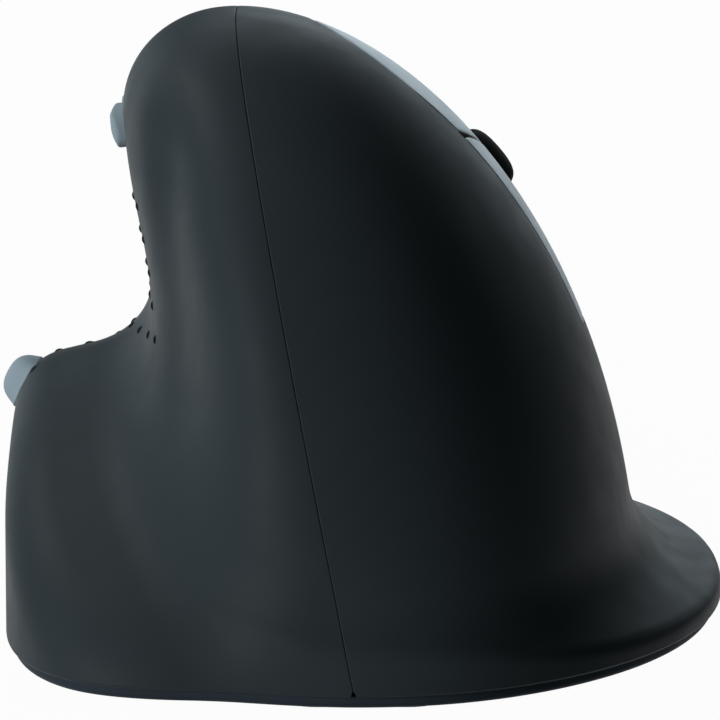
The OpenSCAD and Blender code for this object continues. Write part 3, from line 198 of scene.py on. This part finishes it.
# Outlines of the openings and caps: positive inside the outline


def late(y, start, end):
    return np.clip((y - start) / (end - start), 0, 1) ** 2


def slit_angle(y):
    return SLIT_REAR + (SLIT_WHEEL - SLIT_REAR) * (y - BUTTON_REAR) / (WHEEL_Y - BUTTON_REAR)


def low_angle(y):
    return LOW_EDGE + FRONT_DROP * late(y, FRONT_TURN_Y, BUTTON_FRONT)


def top_angle(y):
    return TOP_EDGE - TOP_DROP * late(y, TOP_TURN_Y, BUTTON_REAR) - FRONT_DROP * late(y, FRONT_TURN_Y, BUTTON_FRONT)


def flank_polar(p):
    dx, dz = p[..., 0] - CORE_X, p[..., 2] - CORE_Z
    return np.degrees(np.arctan2(dz, dx)), np.hypot(dx, dz)


def flank_inside(p, part, gap, edge, corner):
    """Distance inside the outline of both caps together, or of one of them."""
    y = p[..., 1]
    angle, r = flank_polar(p)
    per_degree = r * math.pi / 180
    low, high = (angle - low_angle(y)) * per_degree - edge, (top_angle(y) - angle) * per_degree - edge
    slit = (angle - slit_angle(y)) * per_degree
    apart = gap + SLIT_FLARE * late(y, BUTTON_REAR + SLIT_FLARE_L, BUTTON_REAR)
    ends = soft_min(y - BUTTON_REAR - gap, BUTTON_FRONT - FRONT_ROOM * gap - y, corner)
    if part == "upper":
        return soft_min(soft_min(ends, high, corner), slit - apart, SLIT_CORNER)
    if part == "lower":
        return soft_min(soft_min(ends, low, corner), -slit - apart, SLIT_CORNER)
    return soft_min(ends, soft_min(low, high, corner), corner)


def slot_outside(p):
    """Distance outside the slot for the wheel."""
    dx, dz = p[..., 0] - WHEEL_SKIN[0], p[..., 2] - WHEEL_SKIN[1]
    across = dx * math.cos(FLANK_TILT) - dz * math.sin(FLANK_TILT)
    out = dx * math.sin(FLANK_TILT) + dz * math.cos(FLANK_TILT)
    rho = np.hypot(p[..., 1] - WHEEL_Y, out - WHEEL_PROUD + WHEEL_R)
    return soft_max(np.abs(across) - WHEEL_W / 2 - SLOT_GAP, rho - WHEEL_R - SLOT_GAP, SLOT_CORNER)


def thumb_middle(which):
    return THUMB_Y0 + which * (THUMB_L + THUMB_GAP) + THUMB_L / 2


def thumb_inside(p, which, gap):
    """Distance inside the outline of a thumb button."""
    y, z = p[..., 1], p[..., 2]
    along = THUMB_L / 2 + gap - np.abs(y - thumb_middle(which))
    up = THUMB_H / 2 + gap - np.abs(z - THUMB_Z)
    return np.where(p[..., 0] < seam_x(z) - 3, soft_min(along, up, THUMB_CORNER), FAR_OUT)


def speed_turn(p):
    """Degrees round the shoulder from the middle of the speed button."""
    return np.degrees(np.arctan2(p[..., 2] - SHOULDER_Z, p[..., 0] - SHOULDER_X)) - SPEED_ANGLE


def speed_inside(p, gap):
    """Distance inside the outline of the speed button."""
    round_it = (SPEED_SPREAD / 2 - np.abs(speed_turn(p))) * math.pi / 180 * SPEED_R + SPEED_ROOM * gap
    along = SPEED_L / 2 + gap - np.abs(p[..., 1] - SPEED_Y)
    return soft_min(along, round_it, SPEED_CORNER)


def socket_inside(p):
    wide = SOCKET_W / 2 + SOCKET_GAP - np.abs(p[..., 0] - SOCKET_X)
    high = SOCKET_H / 2 + SOCKET_GAP - np.abs(p[..., 2] - SOCKET_Z)
    return np.where(p[..., 1] > 20, soft_min(wide, high, SOCKET_CORNER), FAR_OUT)


def seam_side(p, side):
    """Distance from the seam on one side of it (-1 left, 1 right)."""
    return side * (p[..., 0] - seam_x(p[..., 2])) / math.sqrt(1 + SEAM_LEAN**2) - SEAM_GAP / 2


# Meshes


def new_object(name, points, faces, normals=None, smooth=True):
    mesh = bpy.data.meshes.new(name)
    mesh.from_pydata((np.asarray(points) * MM).tolist(), [], faces)
    mesh.polygons.foreach_set("use_smooth", [smooth] * len(mesh.polygons))
    mesh.update()
    if normals is not None:
        mesh.normals_split_custom_set_from_vertices(np.asarray(normals).tolist())
    obj = bpy.data.objects.new(name, mesh)
    bpy.context.scene.collection.objects.link(obj)
    return obj


def grid_faces(rows, columns, closed=False):
    """Quads of a grid of points, row by row."""
    i, j = np.meshgrid(np.arange(rows - 1), np.arange(columns if closed else columns - 1), indexing="ij")
    k = (j + 1) % columns
    quads = np.stack([i * columns + j, i * columns + k, (i + 1) * columns + k, (i + 1) * columns + j], -1)
    return quads.reshape(-1, 4)


def keep_inside(points, faces, inside):
    """Cuts a mesh along inside = 0 and keeps the positive side."""
    value = inside(points)
    value = np.where(np.abs(value) < 1e-4, 1e-4, value)
    good = value > 0
    count = good[faces].sum(1)
    new_faces = [tuple(f) for f in faces[count == 4].tolist()]
    points = list(points)
    cut = {}

    def crossing(a, b):
        key = (a, b) if a < b else (b, a)
        if key not in cut:
            low, high = points[key[0]], points[key[1]]
            f0, f1 = value[key[0]], value[key[1]]
            t = f0 / (f0 - f1)
            for _ in range(3):
                f = float(inside((low + t * (high - low))[None])[0])
                t = min(max(t - f / (f1 - f0), 0.002), 0.998)
            cut[key] = len(points)
            points.append(low + t * (high - low))
        return cut[key]

    for face in faces[(count > 0) & (count < 4)].tolist():
        turned = []
        for a, b in zip(face, face[1:] + face[:1]):
            if good[a]:
                turned.append(a)
            if good[a] != good[b]:
                turned.append(crossing(a, b))
        new_faces.append(tuple(turned))
    used = np.unique(np.concatenate([np.array(f) for f in new_faces]))
    place = np.zeros(len(points), int)
    place[used] = np.arange(len(used))
    place = place.tolist()
    return np.array(points)[used], [tuple(place[i] for i in f) for f in new_faces]


def edge_loops(faces):
    """Closed loops of the edges that only one face has, in the faces' own direction."""
    starts = np.concatenate([np.array(f) for f in faces])
    ends = np.concatenate([np.array(f[1:] + f[:1]) for f in faces])
    size = int(starts.max()) + 1
    forward, reverse = starts * size + ends, ends * size + starts
    lone = ~np.isin(forward, reverse)
    after = dict(zip(starts[lone].tolist(), ends[lone].tolist()))
    loops = []
    while after:
        start = next(iter(after))
        loop = [start]
        step = after.pop(start)
        while step != start:
            loop.append(step)
            step = after.pop(step)
        loops.append(loop)
    return loops


def even(value):
    """The same measure at every point."""
    return lambda p: np.full(p.shape[:-1], value)


def shell(name, points, faces, inside, radius_at, depth_at, lift=None, shade_walls=False, steps=5):
    """Closed piece cut out of the skin, with rounded edges and an inner face.

    The walls and the inner face can take the piece's second material, a dark colour that stands in for the shade in the
    gaps round it.
    """
    points, faces = keep_inside(points, faces, lambda p: inside(p) - radius_at(p))
    normals = skin_normal(points)
    depth = depth_at(points)
    count = len(points)
    outer, shown = points, normals
    if lift is not None:
        outer = points + lift(points)[:, None] * normals
        shown = face_normals(outer, faces)
    all_points = [outer, points - depth[:, None] * normals]
    all_normals = [shown, -normals]
    new_faces = list(faces) + [tuple(i + count for i in reversed(f)) for f in faces]
    wall_shade_index = [0] * len(faces) + [1] * len(faces)
    total = 2 * count
    for loop in edge_loops(faces):
        loop = np.array(loop)
        p, n, up = outer[loop], shown[loop], normals[loop]
        away = -slope(inside, points[loop])
        away = unit(away - (away * up).sum(-1, keepdims=True) * up)
        r = radius_at(points[loop])[:, None]
        m = len(loop)
        rings = [loop]
        for k in range(1, steps + 1):
            a = math.pi / 2 * k / steps
            all_points.append(p + r * (math.sin(a) * away - (1 - math.cos(a)) * up))
            all_normals.append(unit(math.cos(a) * n + math.sin(a) * away))
            rings.append(np.arange(total, total + m))
            total += m
        all_points.append(points[loop] - depth[loop][:, None] * up + r * away)
        all_normals.append(away)
        rings.append(np.arange(total, total + m))
        total += m
        rings.append(loop + count)
        for ring, (a, b) in enumerate(zip(rings[:-1], rings[1:])):
            for j in range(m):
                k = (j + 1) % m
                new_faces.append((int(a[k]), int(a[j]), int(b[j]), int(b[k])))
            wall_shade_index += [int(ring >= steps)] * m
    obj = new_object(name, np.concatenate(all_points), new_faces, np.concatenate(all_normals))
    # dark walls and inner face: painted shade in the gaps round the piece
    if shade_walls:
        obj.data.polygons.foreach_set("material_index", wall_shade_index)
    return obj


def face_normals(points, faces):
    """Vertex normals from the faces around each vertex."""
    total = np.zeros_like(points)
    for f in faces:
        a, b, c = points[f[0]], points[f[1]], points[f[2]]
        v = np.cross(b - a, points[f[-1]] - a) + np.cross(c - b, a - b)
        for i in f:
            total[i] += v
    return unit(total)


def body_grid(columns=420, levels=210, slices=900):
    """Points on the whole skin, column by column round the crest, evenly spaced along each column."""
    angles = np.radians(np.arange(columns) * 360 / columns + 180 / columns)
    base = SKIRT_Z - 0.5
    rise = np.sin(np.linspace(0, math.pi / 2, slices + 1))
    rise[-1] = 1 - 1e-7
    z = base + (BODY_H - base) * rise
    start = np.zeros((columns, slices + 1, 3))
    start[..., 0] = seam_x(z)
    start[..., 1] = CREST_Y
    start[..., 2] = z
    way = np.zeros((columns, 1, 3))
    way[:, 0, 0], way[:, 0, 1] = np.cos(angles), np.sin(angles)
    line = rays_out(start, np.broadcast_to(way, start.shape))
    run = np.concatenate([np.zeros((columns, 1)), np.cumsum(np.linalg.norm(np.diff(line, axis=1), axis=2), axis=1)], 1)
    grid = np.zeros((levels, columns, 3))
    for j in range(columns):
        s = np.linspace(0, run[j, -1], levels)
        for c in range(3):
            grid[:, j, c] = np.interp(s, run[j], line[j, :, c])
    return grid


def housing_depth(p):
    return np.clip(SKIRT_WALL + WALL_GROWTH * (p[..., 2] - SKIRT_Z), SKIRT_WALL, WALL)


def left_parts(p):
    return [
        (seam_side(p, -1), SEAM_ROUND),
        (p[..., 2] - SKIRT_Z, SKIRT_ROUND),
        (-thumb_inside(p, 0, KEY_GAP), KEY_ROUND),
        (-thumb_inside(p, 1, KEY_GAP), KEY_ROUND),
        (-speed_inside(p, SPEED_GAP), SPEED_ROUND),
        (-socket_inside(p), KEY_ROUND),
    ]


def right_parts(p):
    return [
        (seam_side(p, 1), SEAM_ROUND),
        (p[..., 2] - SKIRT_Z, SKIRT_ROUND),
        (-flank_inside(p, "both", 0, 0, OPENING_CORNER), OPENING_ROUND),
    ]


def nearest(parts):
    """Distance and edge radius of the outline that is nearest."""
    gaps = np.stack([g for g, _ in parts])
    radii = np.array([r for _, r in parts])
    shrunk = gaps - radii.reshape(-1, *([1] * (gaps.ndim - 1)))
    which = shrunk.argmin(0)
    return shrunk.min(0), radii[which]


def cut_housing(name, grid, parts_of):
    levels, columns, _ = grid.shape
    faces = grid_faces(levels, columns, closed=True)

    def inside(p):
        gap, r = nearest(parts_of(p))
        return gap + r

    def radius_at(p):
        return nearest(parts_of(p))[1]

    return shell(name, grid.reshape(-1, 3), faces, inside, radius_at, housing_depth)


def flank_grid(low, high, rows=150, columns=90):
    """Points on the finger flank, between two edges given in degrees."""
    y = np.linspace(BUTTON_REAR, BUTTON_FRONT, rows)[:, None]
    share = np.linspace(0, 1, columns)[None, :]
    a = np.radians(low(y) + (high(y) - low(y)) * share)
    start = np.zeros((rows, columns, 3))
    start[..., 0], start[..., 1], start[..., 2] = CORE_X, y, CORE_Z
    way = np.stack([np.cos(a), np.zeros_like(a), np.sin(a)], -1)
    return rays_out(start, way)


def cut_cap(name, part):
    if part == "upper":
        grid = flank_grid(slit_angle, top_angle)
    else:
        grid = flank_grid(low_angle, slit_angle)
    rows, columns, _ = grid.shape
    faces = grid_faces(rows, columns)[:, ::-1]

    def inside(p):
        return soft_min(flank_inside(p, part, CAP_GAP, EDGE_GAP, CAP_CORNER), slot_outside(p), SLOT_BLEND)

    # the caps' walls take painted shade for the slit and the gaps between them
    return shell(name, grid.reshape(-1, 3), faces, inside, even(CAP_ROUND), even(CAP_T), shade_walls=True)


def ball(u, power):
    """Height of a dome that is 1 in the middle and 0 at u = 1."""
    return np.maximum(1 - np.abs(u) ** power, 0)


def cut_thumb(name, which):
    middle = thumb_middle(which)
    rows, columns = 90, 60
    y = np.linspace(middle - THUMB_L / 2 - SPARE, middle + THUMB_L / 2 + SPARE, rows)[:, None]
    z = THUMB_Z + np.linspace(-THUMB_H / 2 - SPARE, THUMB_H / 2 + SPARE, columns)[None, :] + 0 * y
    start = np.stack([seam_x(z), np.broadcast_to(y, z.shape), z], -1)
    grid = rays_out(start, np.broadcast_to(np.array([-1.0, 0, 0]), start.shape))
    faces = grid_faces(rows, columns)

    def lift(p):
        u = (p[..., 1] - middle) / (THUMB_L / 2)
        v = (p[..., 2] - THUMB_Z) / (THUMB_H / 2)
        up = np.clip((v + 1) / 1.3, 0, 1)
        full = np.sqrt(1 - (1 - up) ** 2) * ball(u, 8)
        return THUMB_EDGE + (THUMB_PROUD - THUMB_EDGE) * full

    return shell(name, grid.reshape(-1, 3), faces, lambda p: thumb_inside(p, which, 0), even(THUMB_ROUND),
                 even(WALL), lift)


def cut_speed(name):
    rows, columns = 100, 70
    y = np.linspace(SPEED_Y - SPEED_L / 2 - SPARE, SPEED_Y + SPEED_L / 2 + SPARE, rows)[:, None]
    a = np.radians(SPEED_ANGLE + np.linspace(-SPEED_SPARE, SPEED_SPARE, columns)[None, :] * SPEED_SPREAD) + 0 * y
    start = np.zeros((rows, columns, 3))
    start[..., 0], start[..., 1], start[..., 2] = SHOULDER_X, y, SHOULDER_Z
    grid = rays_out(start, np.stack([np.cos(a), np.zeros_like(a), np.sin(a)], -1))
    faces = grid_faces(rows, columns)[:, ::-1]

    def lift(p):
        u = (p[..., 1] - SPEED_Y) / (SPEED_L / 2)
        v = speed_turn(p) / (SPEED_SPREAD / 2)
        return SPEED_EDGE + (SPEED_PROUD - SPEED_EDGE) * ball(u, 2) ** 1.4 * ball(v, 3.5)

    return shell(name, grid.reshape(-1, 3), faces, lambda p: speed_inside(p, 0), even(SPEED_ROUND),
                 even(SPEED_WALL), lift)


def ring_faces(steps, count):
    """Quads of a closed profile of count points, carried round in steps."""
    i, j = np.meshgrid(np.arange(steps), np.arange(count), indexing="ij")
    i2, j2 = (i + 1) % steps, (j + 1) % count
    return np.stack([i * count + j, i2 * count + j, i2 * count + j2, i * count + j2], -1).reshape(-1, 4)


def revolve(name, profile, place, steps=128):
    """Ring turned from a closed profile of (radius, along) about the wheel's axle."""
    out = np.array([math.sin(FLANK_TILT), 0, math.cos(FLANK_TILT)])
    along = np.array([math.cos(FLANK_TILT), 0, -math.sin(FLANK_TILT)])
    forward = np.array([0.0, 1, 0])
    turn = np.arange(steps) * 2 * math.pi / steps
    r, x = np.array(profile).T
    ring = np.cos(turn)[:, None, None] * out + np.sin(turn)[:, None, None] * forward
    points = place + r[None, :, None] * ring + x[None, :, None] * along
    obj = new_object(name, points.reshape(-1, 3), ring_faces(steps, len(profile)).tolist())
    obj.data.set_sharp_from_angle(angle=SHARP_ANGLE)
    return obj


def tyre():
    """Rubber tyre with a rounded crown."""
    profile = [(WHEEL_R - TYRE_T, WHEEL_W / 2), (WHEEL_R - TYRE_T, -WHEEL_W / 2)]
    for u in np.sin(np.linspace(-math.pi / 2, math.pi / 2, 81)):
        h = max(1 - abs(u) ** CROWN_SQUARE, 0) ** (1 / CROWN_SQUARE)
        profile.append((WHEEL_R - TYRE_CROWN * (1 - h), u * WHEEL_W / 2))
    deep = WHEEL_PROUD - WHEEL_R
    axle = np.array([WHEEL_SKIN[0] + deep * math.sin(FLANK_TILT), WHEEL_Y, WHEEL_SKIN[1] + deep * math.cos(FLANK_TILT)])
    return revolve("wheel_tread", profile, axle)


def dots():
    """Soft dots on the thumb wall and on the shelf."""
    y, z = np.meshgrid(DOT_Y + np.arange(5) * DOT_PITCH, DOT_Z + np.arange(4) * DOT_RISE, indexing="ij")
    run = np.arange(5) * DOT_PITCH
    y = np.concatenate([y.ravel(), LOW_DOT_Y + run])
    z = np.concatenate([z.ravel(), LOW_DOT_Z - LOW_DOT_FALL * run])
    start = np.stack([seam_x(z), y, z], -1)
    spots = rays_out(start, np.broadcast_to(np.array([-1.0, 0, 0]), start.shape))
    y, x = np.meshgrid(SHELF_DOT_Y + np.arange(4) * SHELF_DOT_PITCH, SHELF_DOT_X - np.arange(3) * SHELF_DOT_PITCH,
                       indexing="ij")
    start = np.stack([x, y, np.full_like(x, CORE_Z)], -1).reshape(-1, 3)
    spots = np.concatenate([spots, rays_out(start, np.broadcast_to(np.array([0, 0, 1.0]), start.shape))])
    points, faces, rings, turns = [], [], 7, 24
    for spot, n in zip(spots, skin_normal(spots)):
        first = len(points)
        side = unit(np.cross(n, [0.0, 1.0, 0.0]))
        other = np.cross(n, side)
        points.append(spot + (DOT_R - DOT_SINK) * n)
        for a in np.linspace(0, math.radians(75), rings + 1)[1:]:
            for b in np.arange(turns) * 2 * math.pi / turns:
                w = math.cos(b) * side + math.sin(b) * other
                points.append(spot + (DOT_R * math.cos(a) - DOT_SINK) * n + DOT_R * math.sin(a) * w)
        ring = lambda i, k: first + 1 + i * turns + k % turns
        faces += [(first, ring(0, k), ring(0, k + 1)) for k in range(turns)]
        faces += [(ring(i, k), ring(i + 1, k), ring(i + 1, k + 1), ring(i, k + 1))
                  for i in range(rings - 1) for k in range(turns)]
        faces.append(tuple(ring(rings - 1, k) for k in reversed(range(turns))))
    return new_object("thumb_dots", points, faces)


def base_rim(columns=480):
    """Smooth edge round the base plate, with a rounded lower corner."""
    angles = np.arange(columns) * 2 * math.pi / columns
    way = np.stack([np.cos(angles), np.sin(angles), 0 * angles], -1)
    start = np.broadcast_to(np.array([seam_x(SKIRT_Z), CREST_Y, SKIRT_Z]), way.shape)
    line = rays_out(start, way)
    inward = unit(skin_normal(line) * np.array([-1.0, -1, 0]))
    turn = np.linspace(0, math.pi / 2, 9)
    profile = [(BASE_INSET, SKIRT_Z + RIM_OVERLAP)]
    profile += [(BASE_INSET + BASE_CHAMFER * (1 - math.cos(t)), RIM_TURN_Z - (RIM_TURN_Z - BASE_Z) * math.sin(t))
                for t in turn]
    profile += [(RIM_IN, BASE_Z), (RIM_IN, SKIRT_Z + RIM_OVERLAP)]
    count = len(profile)
    points = np.zeros((columns, count, 3))
    for k, (inset, z) in enumerate(profile):
        points[:, k] = line + inset * inward
        points[:, k, 2] = z
    outward = ring_faces(columns, count)[:, [0, 3, 2, 1]]
    obj = new_object("base_rim", points.reshape(-1, 3), outward.tolist())
    obj.data.set_sharp_from_angle(angle=SHARP_ANGLE)
    return obj


grid = body_grid()
rim = base_rim()
left = cut_housing("left_shell", grid, left_parts)
right = cut_housing("right_shell", grid, right_parts)
upper = cut_cap("upper_cap", "upper")
lower = cut_cap("lower_cap", "lower")
thumb_back = cut_thumb("thumb_back_cap", 0)
thumb_forward = cut_thumb("thumb_forward_cap", 1)
speed = cut_speed("speed_cap")
tread = tyre()
thumb_dots = dots()


# Materials


def material(name):
    m = bpy.data.materials.new(name)
    m.use_nodes = True
    tree = m.node_tree
    shader = tree.nodes["Principled BSDF"]
    coords = tree.nodes.new("ShaderNodeTexCoord")
    return m, tree, shader, coords.outputs["Object"]


def noise(tree, coords, scale, detail=3.0, rough=0.55):
    n = tree.nodes.new("ShaderNodeTexNoise")
    n.inputs["Scale"].default_value = scale
    n.inputs["Detail"].default_value = detail
    n.inputs["Roughness"].default_value = rough
    tree.links.new(coords, n.inputs["Vector"])
    return n.outputs["Fac"]


def ramp(tree, source, low, high, start=0.35, end=0.65):
    r = tree.nodes.new("ShaderNodeValToRGB")
    r.color_ramp.elements[0].position, r.color_ramp.elements[1].position = start, end
    r.color_ramp.elements[0].color, r.color_ramp.elements[1].color = low, high
    tree.links.new(source, r.inputs["Fac"])
    return r.outputs["Color"]


def grey(v):
    return (v, v, v, 1)


def plastic(name, dark, light, rough, grain_scale, grain_depth, cloud=35.0, specular=0.5):
    """Moulded plastic: slight drift of colour and gloss, and a fine grain."""
    m, tree, shader, at = material(name)
    tree.links.new(ramp(tree, noise(tree, at, cloud), (*dark, 1), (*light, 1)), shader.inputs["Base Color"])
    tree.links.new(ramp(tree, noise(tree, at, cloud * 7), grey(rough - 0.03), grey(rough + 0.03)),
                   shader.inputs["Roughness"])
    shader.inputs["Specular IOR Level"].default_value = specular
    bump = tree.nodes.new("ShaderNodeBump")
    bump.inputs["Strength"].default_value = 0.35
    bump.inputs["Distance"].default_value = grain_depth
    tree.links.new(noise(tree, at, grain_scale, 2.0), bump.inputs["Height"])
    tree.links.new(bump.outputs["Normal"], shader.inputs["Normal"])
    return m


soft_black = plastic("soft_touch_black", (0.031, 0.042, 0.047), (0.035, 0.047, 0.053), 0.5, 5200, 0.00002,
                     specular=0.05)
# Finger caps: their own lighter silver grey, raised further as a painted sheen of the back light that falls on them
silver_grey_and_sheen = plastic("silver_grey_and_painted_sheen", (0.66, 0.80, 0.90), (0.69, 0.83, 0.93), 0.48, 4200, 0.00002, specular=0.4)
satin_grey = plastic("satin_slate_grey", (0.27, 0.35, 0.405), (0.30, 0.38, 0.435), 0.6, 4200, 0.00002, specular=0.1)
grain_black = plastic("grained_black", (0.030, 0.043, 0.055), (0.036, 0.050, 0.063), 0.55, 2600, 0.00006,
                      specular=0.03)
rubber = plastic("tread_rubber", (0.010, 0.012, 0.014), (0.014, 0.016, 0.018), 0.5, 3000, 0.00003, specular=0.003)
# the frame's own black, also used as painted shade on the finger caps' walls and inner faces
inner_black_and_gap_shade = plastic("moulded_black_and_gap_shade", (0.022, 0.024, 0.026), (0.03, 0.032, 0.034), 0.5, 2400, 0.00005)
chip_black = plastic("chip_black", (0.012, 0.012, 0.013), (0.018, 0.018, 0.019), 0.6, 6000, 0.00003)
white = plastic("white_plastic", (0.68, 0.67, 0.63), (0.74, 0.73, 0.69), 0.4, 4000, 0.00002)
board = plastic("board_green", (0.012, 0.10, 0.045), (0.018, 0.13, 0.06), 0.3, 900, 0.00004)
flex = plastic("amber_flex", (0.42, 0.22, 0.06), (0.50, 0.27, 0.08), 0.3, 1500, 0.00002)
sleeve = plastic("cell_sleeve", (0.05, 0.13, 0.27), (0.06, 0.16, 0.32), 0.25, 1200, 0.00002)
glide = plastic("glide_plastic", (0.02, 0.021, 0.022), (0.028, 0.029, 0.03), 0.3, 5000, 0.00001)


def steel_material():
    m, tree, shader, at = material("bright_steel")
    tree.links.new(ramp(tree, noise(tree, at, 300), (0.52, 0.53, 0.55, 1), (0.62, 0.63, 0.65, 1)),
                   shader.inputs["Base Color"])
    tree.links.new(ramp(tree, noise(tree, at, 2500), grey(0.22), grey(0.34)), shader.inputs["Roughness"])
    shader.inputs["Metallic"].default_value = 1.0
    return m


def lens_material():
    m, tree, shader, at = material("lens_clear")
    tree.links.new(ramp(tree, noise(tree, at, 200), (0.86, 0.9, 0.93, 1), (0.93, 0.95, 0.97, 1)),
                   shader.inputs["Base Color"])
    tree.links.new(ramp(tree, noise(tree, at, 900), grey(0.04), grey(0.1)), shader.inputs["Roughness"])
    shader.inputs["Transmission Weight"].default_value = 0.85
    shader.inputs["IOR"].default_value = 1.49
    return m


steel, lens = steel_material(), lens_material()
finish_of_slot = {
    "housing_black": soft_black, "button_grey": satin_grey, "base_black": grain_black, "rubber_black": rubber,
    "glide": glide, "steel": steel, "board_green": board, "chip_black": chip_black, "white_plastic": white,
    "frame_black": inner_black_and_gap_shade, "lens_clear": lens, "cell_wrap": sleeve, "flex": flex,
}
for part in frame["record"]["subparts"]:
    node = frame["nodes"][part["node"]]
    node.data.materials.clear()
    node.data.materials.append(finish_of_slot[part["material_slot"]])

for obj, body, node, slot, finish in (
    (left, "housing", "left_housing", "housing_black", soft_black),
    (right, "housing", "right_housing", "housing_black", soft_black),
    # finger caps: silver grey with painted sheen
    (upper, "upper_key", "upper_button", "button_grey", silver_grey_and_sheen),
    (lower, "lower_key", "lower_button", "button_grey", silver_grey_and_sheen),
    (thumb_back, "thumb_back_key", "thumb_back_button", "button_grey", satin_grey),
    (thumb_forward, "thumb_forward_key", "thumb_forward_button", "button_grey", satin_grey),
    (speed, "speed_key", "speed_button", "button_grey", satin_grey),
    (tread, "wheel", "wheel_tyre", "rubber_black", rubber),
    (thumb_dots, "housing", "grip_dots", "rubber_black", rubber),
):
    obj.data.materials.append(finish)
    if finish is silver_grey_and_sheen:
        obj.data.materials.append(inner_black_and_gap_shade)  # painted shade on the walls and inner face, for the gaps between the caps
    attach(obj, body)
    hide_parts(node)
rim.data.materials.append(grain_black)
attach(rim, "housing")


# Floor, light and camera

FLOOR_GLOW, HALF_FLOOR = 0.97, 4.0


def seen_rays(tree, share):
    """A share for the rays that show the background: camera, glossy and transmission."""
    path = tree.nodes.new("ShaderNodeLightPath")
    first = tree.nodes.new("ShaderNodeMath")
    first.operation = "MAXIMUM"
    tree.links.new(path.outputs["Is Camera Ray"], first.inputs[0])
    tree.links.new(path.outputs["Is Glossy Ray"], first.inputs[1])
    both = tree.nodes.new("ShaderNodeMath")
    both.operation = "MAXIMUM"
    tree.links.new(first.outputs[0], both.inputs[0])
    tree.links.new(path.outputs["Is Transmission Ray"], both.inputs[1])
    scaled = tree.nodes.new("ShaderNodeMath")
    scaled.operation = "MULTIPLY"
    scaled.inputs[1].default_value = share
    tree.links.new(both.outputs[0], scaled.inputs[0])
    return scaled.outputs[0]


def floor_material():
    m, tree, shader, at = material("pale_floor")
    tree.links.new(ramp(tree, noise(tree, at, 3), grey(0.50), grey(0.52)), shader.inputs["Base Color"])
    shader.inputs["Roughness"].default_value = 0.9
    shader.inputs["Specular IOR Level"].default_value = 0.1
    glow = tree.nodes.new("ShaderNodeEmission")
    glow.inputs["Color"].default_value = grey(1)
    mix = tree.nodes.new("ShaderNodeMixShader")
    tree.links.new(seen_rays(tree, FLOOR_GLOW), mix.inputs["Fac"])
    tree.links.new(shader.outputs["BSDF"], mix.inputs[1])
    tree.links.new(glow.outputs["Emission"], mix.inputs[2])
    tree.links.new(mix.outputs["Shader"], tree.nodes["Material Output"].inputs["Surface"])
    return m


floor_mesh = bpy.data.meshes.new("floor")
floor_mesh.from_pydata([(-HALF_FLOOR, -HALF_FLOOR, 0), (HALF_FLOOR, -HALF_FLOOR, 0), (HALF_FLOOR, HALF_FLOOR, 0),
                        (-HALF_FLOOR, HALF_FLOOR, 0)], [], [(0, 1, 2, 3)])
floor = bpy.data.objects.new("floor", floor_mesh)
bpy.context.scene.collection.objects.link(floor)
floor_mesh.materials.append(floor_material())

# Surroundings: white to the camera and through the lens, dark to everything else
world = bpy.data.worlds.new("studio")
bpy.context.scene.world = world
world.use_nodes = True
tree = world.node_tree
back = tree.nodes["Background"]
back.inputs["Color"].default_value = grey(1)
path = tree.nodes.new("ShaderNodeLightPath")
white_seen = tree.nodes.new("ShaderNodeMath")
white_seen.operation = "MAXIMUM"
tree.links.new(path.outputs["Is Camera Ray"], white_seen.inputs[0])
tree.links.new(path.outputs["Is Transmission Ray"], white_seen.inputs[1])
tree.links.new(white_seen.outputs[0], back.inputs["Strength"])


def softbox(name, place, aim, watts, tint):
    light = bpy.data.lights.new(name, "AREA")
    light.color = tint
    light.shape = "RECTANGLE"
    light.size, light.size_y = LAMP_SIZE, LAMP_SIZE
    light.energy = watts
    obj = bpy.data.objects.new(name, light)
    bpy.context.scene.collection.objects.link(obj)
    obj.location = place
    obj.rotation_mode = "QUATERNION"
    obj.rotation_quaternion = (aim - place).to_track_quat("-Z", "Y")


MIDDLE, LAMP_AWAY, LAMP_SIZE = Vector((0.0, 0.0, 0.03)), 0.92, 0.4
NEUTRAL, COOL = (1.0, 1.0, 1.0), (0.82, 0.94, 1.0)
for name, around, above, watts, tint in (
    ("front_left_box", -50, 8, 5.1, NEUTRAL),
    ("high_left_box", -115, 52, 3.3, NEUTRAL),
    ("back_high_box", 180, 35, 1.0, COOL),
    ("back_box", 168, 12, 1.0, COOL),
    ("back_right_box", 140, 20, 0.5, COOL),
    ("back_left_box", -145, 12, 0.7, COOL),
):
    a, e = math.radians(around), math.radians(above)
    way = Vector((math.sin(a) * math.cos(e), -math.cos(a) * math.cos(e), math.sin(e)))
    softbox(name, MIDDLE + LAMP_AWAY * way, MIDDLE, watts, tint)

# Camera fitted to the photograph
TARGET = Vector((0.0, -0.010, 0.030))
DISTANCE, ELEVATION = 0.650, math.radians(11)
FRAME_PIXELS, PIXELS_PER_MM, SENSOR = 720, 9.8, 36.0
TARGET_AT = (362.5, 333.0)
camera_data = bpy.data.cameras.new("camera")
camera = bpy.data.objects.new("camera", camera_data)
bpy.context.scene.collection.objects.link(camera)
away = Vector((0, -math.cos(ELEVATION), math.sin(ELEVATION)))
camera.location = TARGET + DISTANCE * away
camera.rotation_mode = "QUATERNION"
camera.rotation_quaternion = (-away).to_track_quat("-Z", "Y")
camera_data.sensor_width = SENSOR
camera_data.lens = SENSOR * PIXELS_PER_MM * DISTANCE / MM / FRAME_PIXELS
camera_data.shift_x = (FRAME_PIXELS / 2 - TARGET_AT[0]) / FRAME_PIXELS
camera_data.shift_y = (TARGET_AT[1] - FRAME_PIXELS / 2) / FRAME_PIXELS
camera_data.clip_start, camera_data.clip_end = 0.01, 50.0
bpy.context.scene.camera = camera
bpy.context.scene.view_settings.view_transform = "Standard"
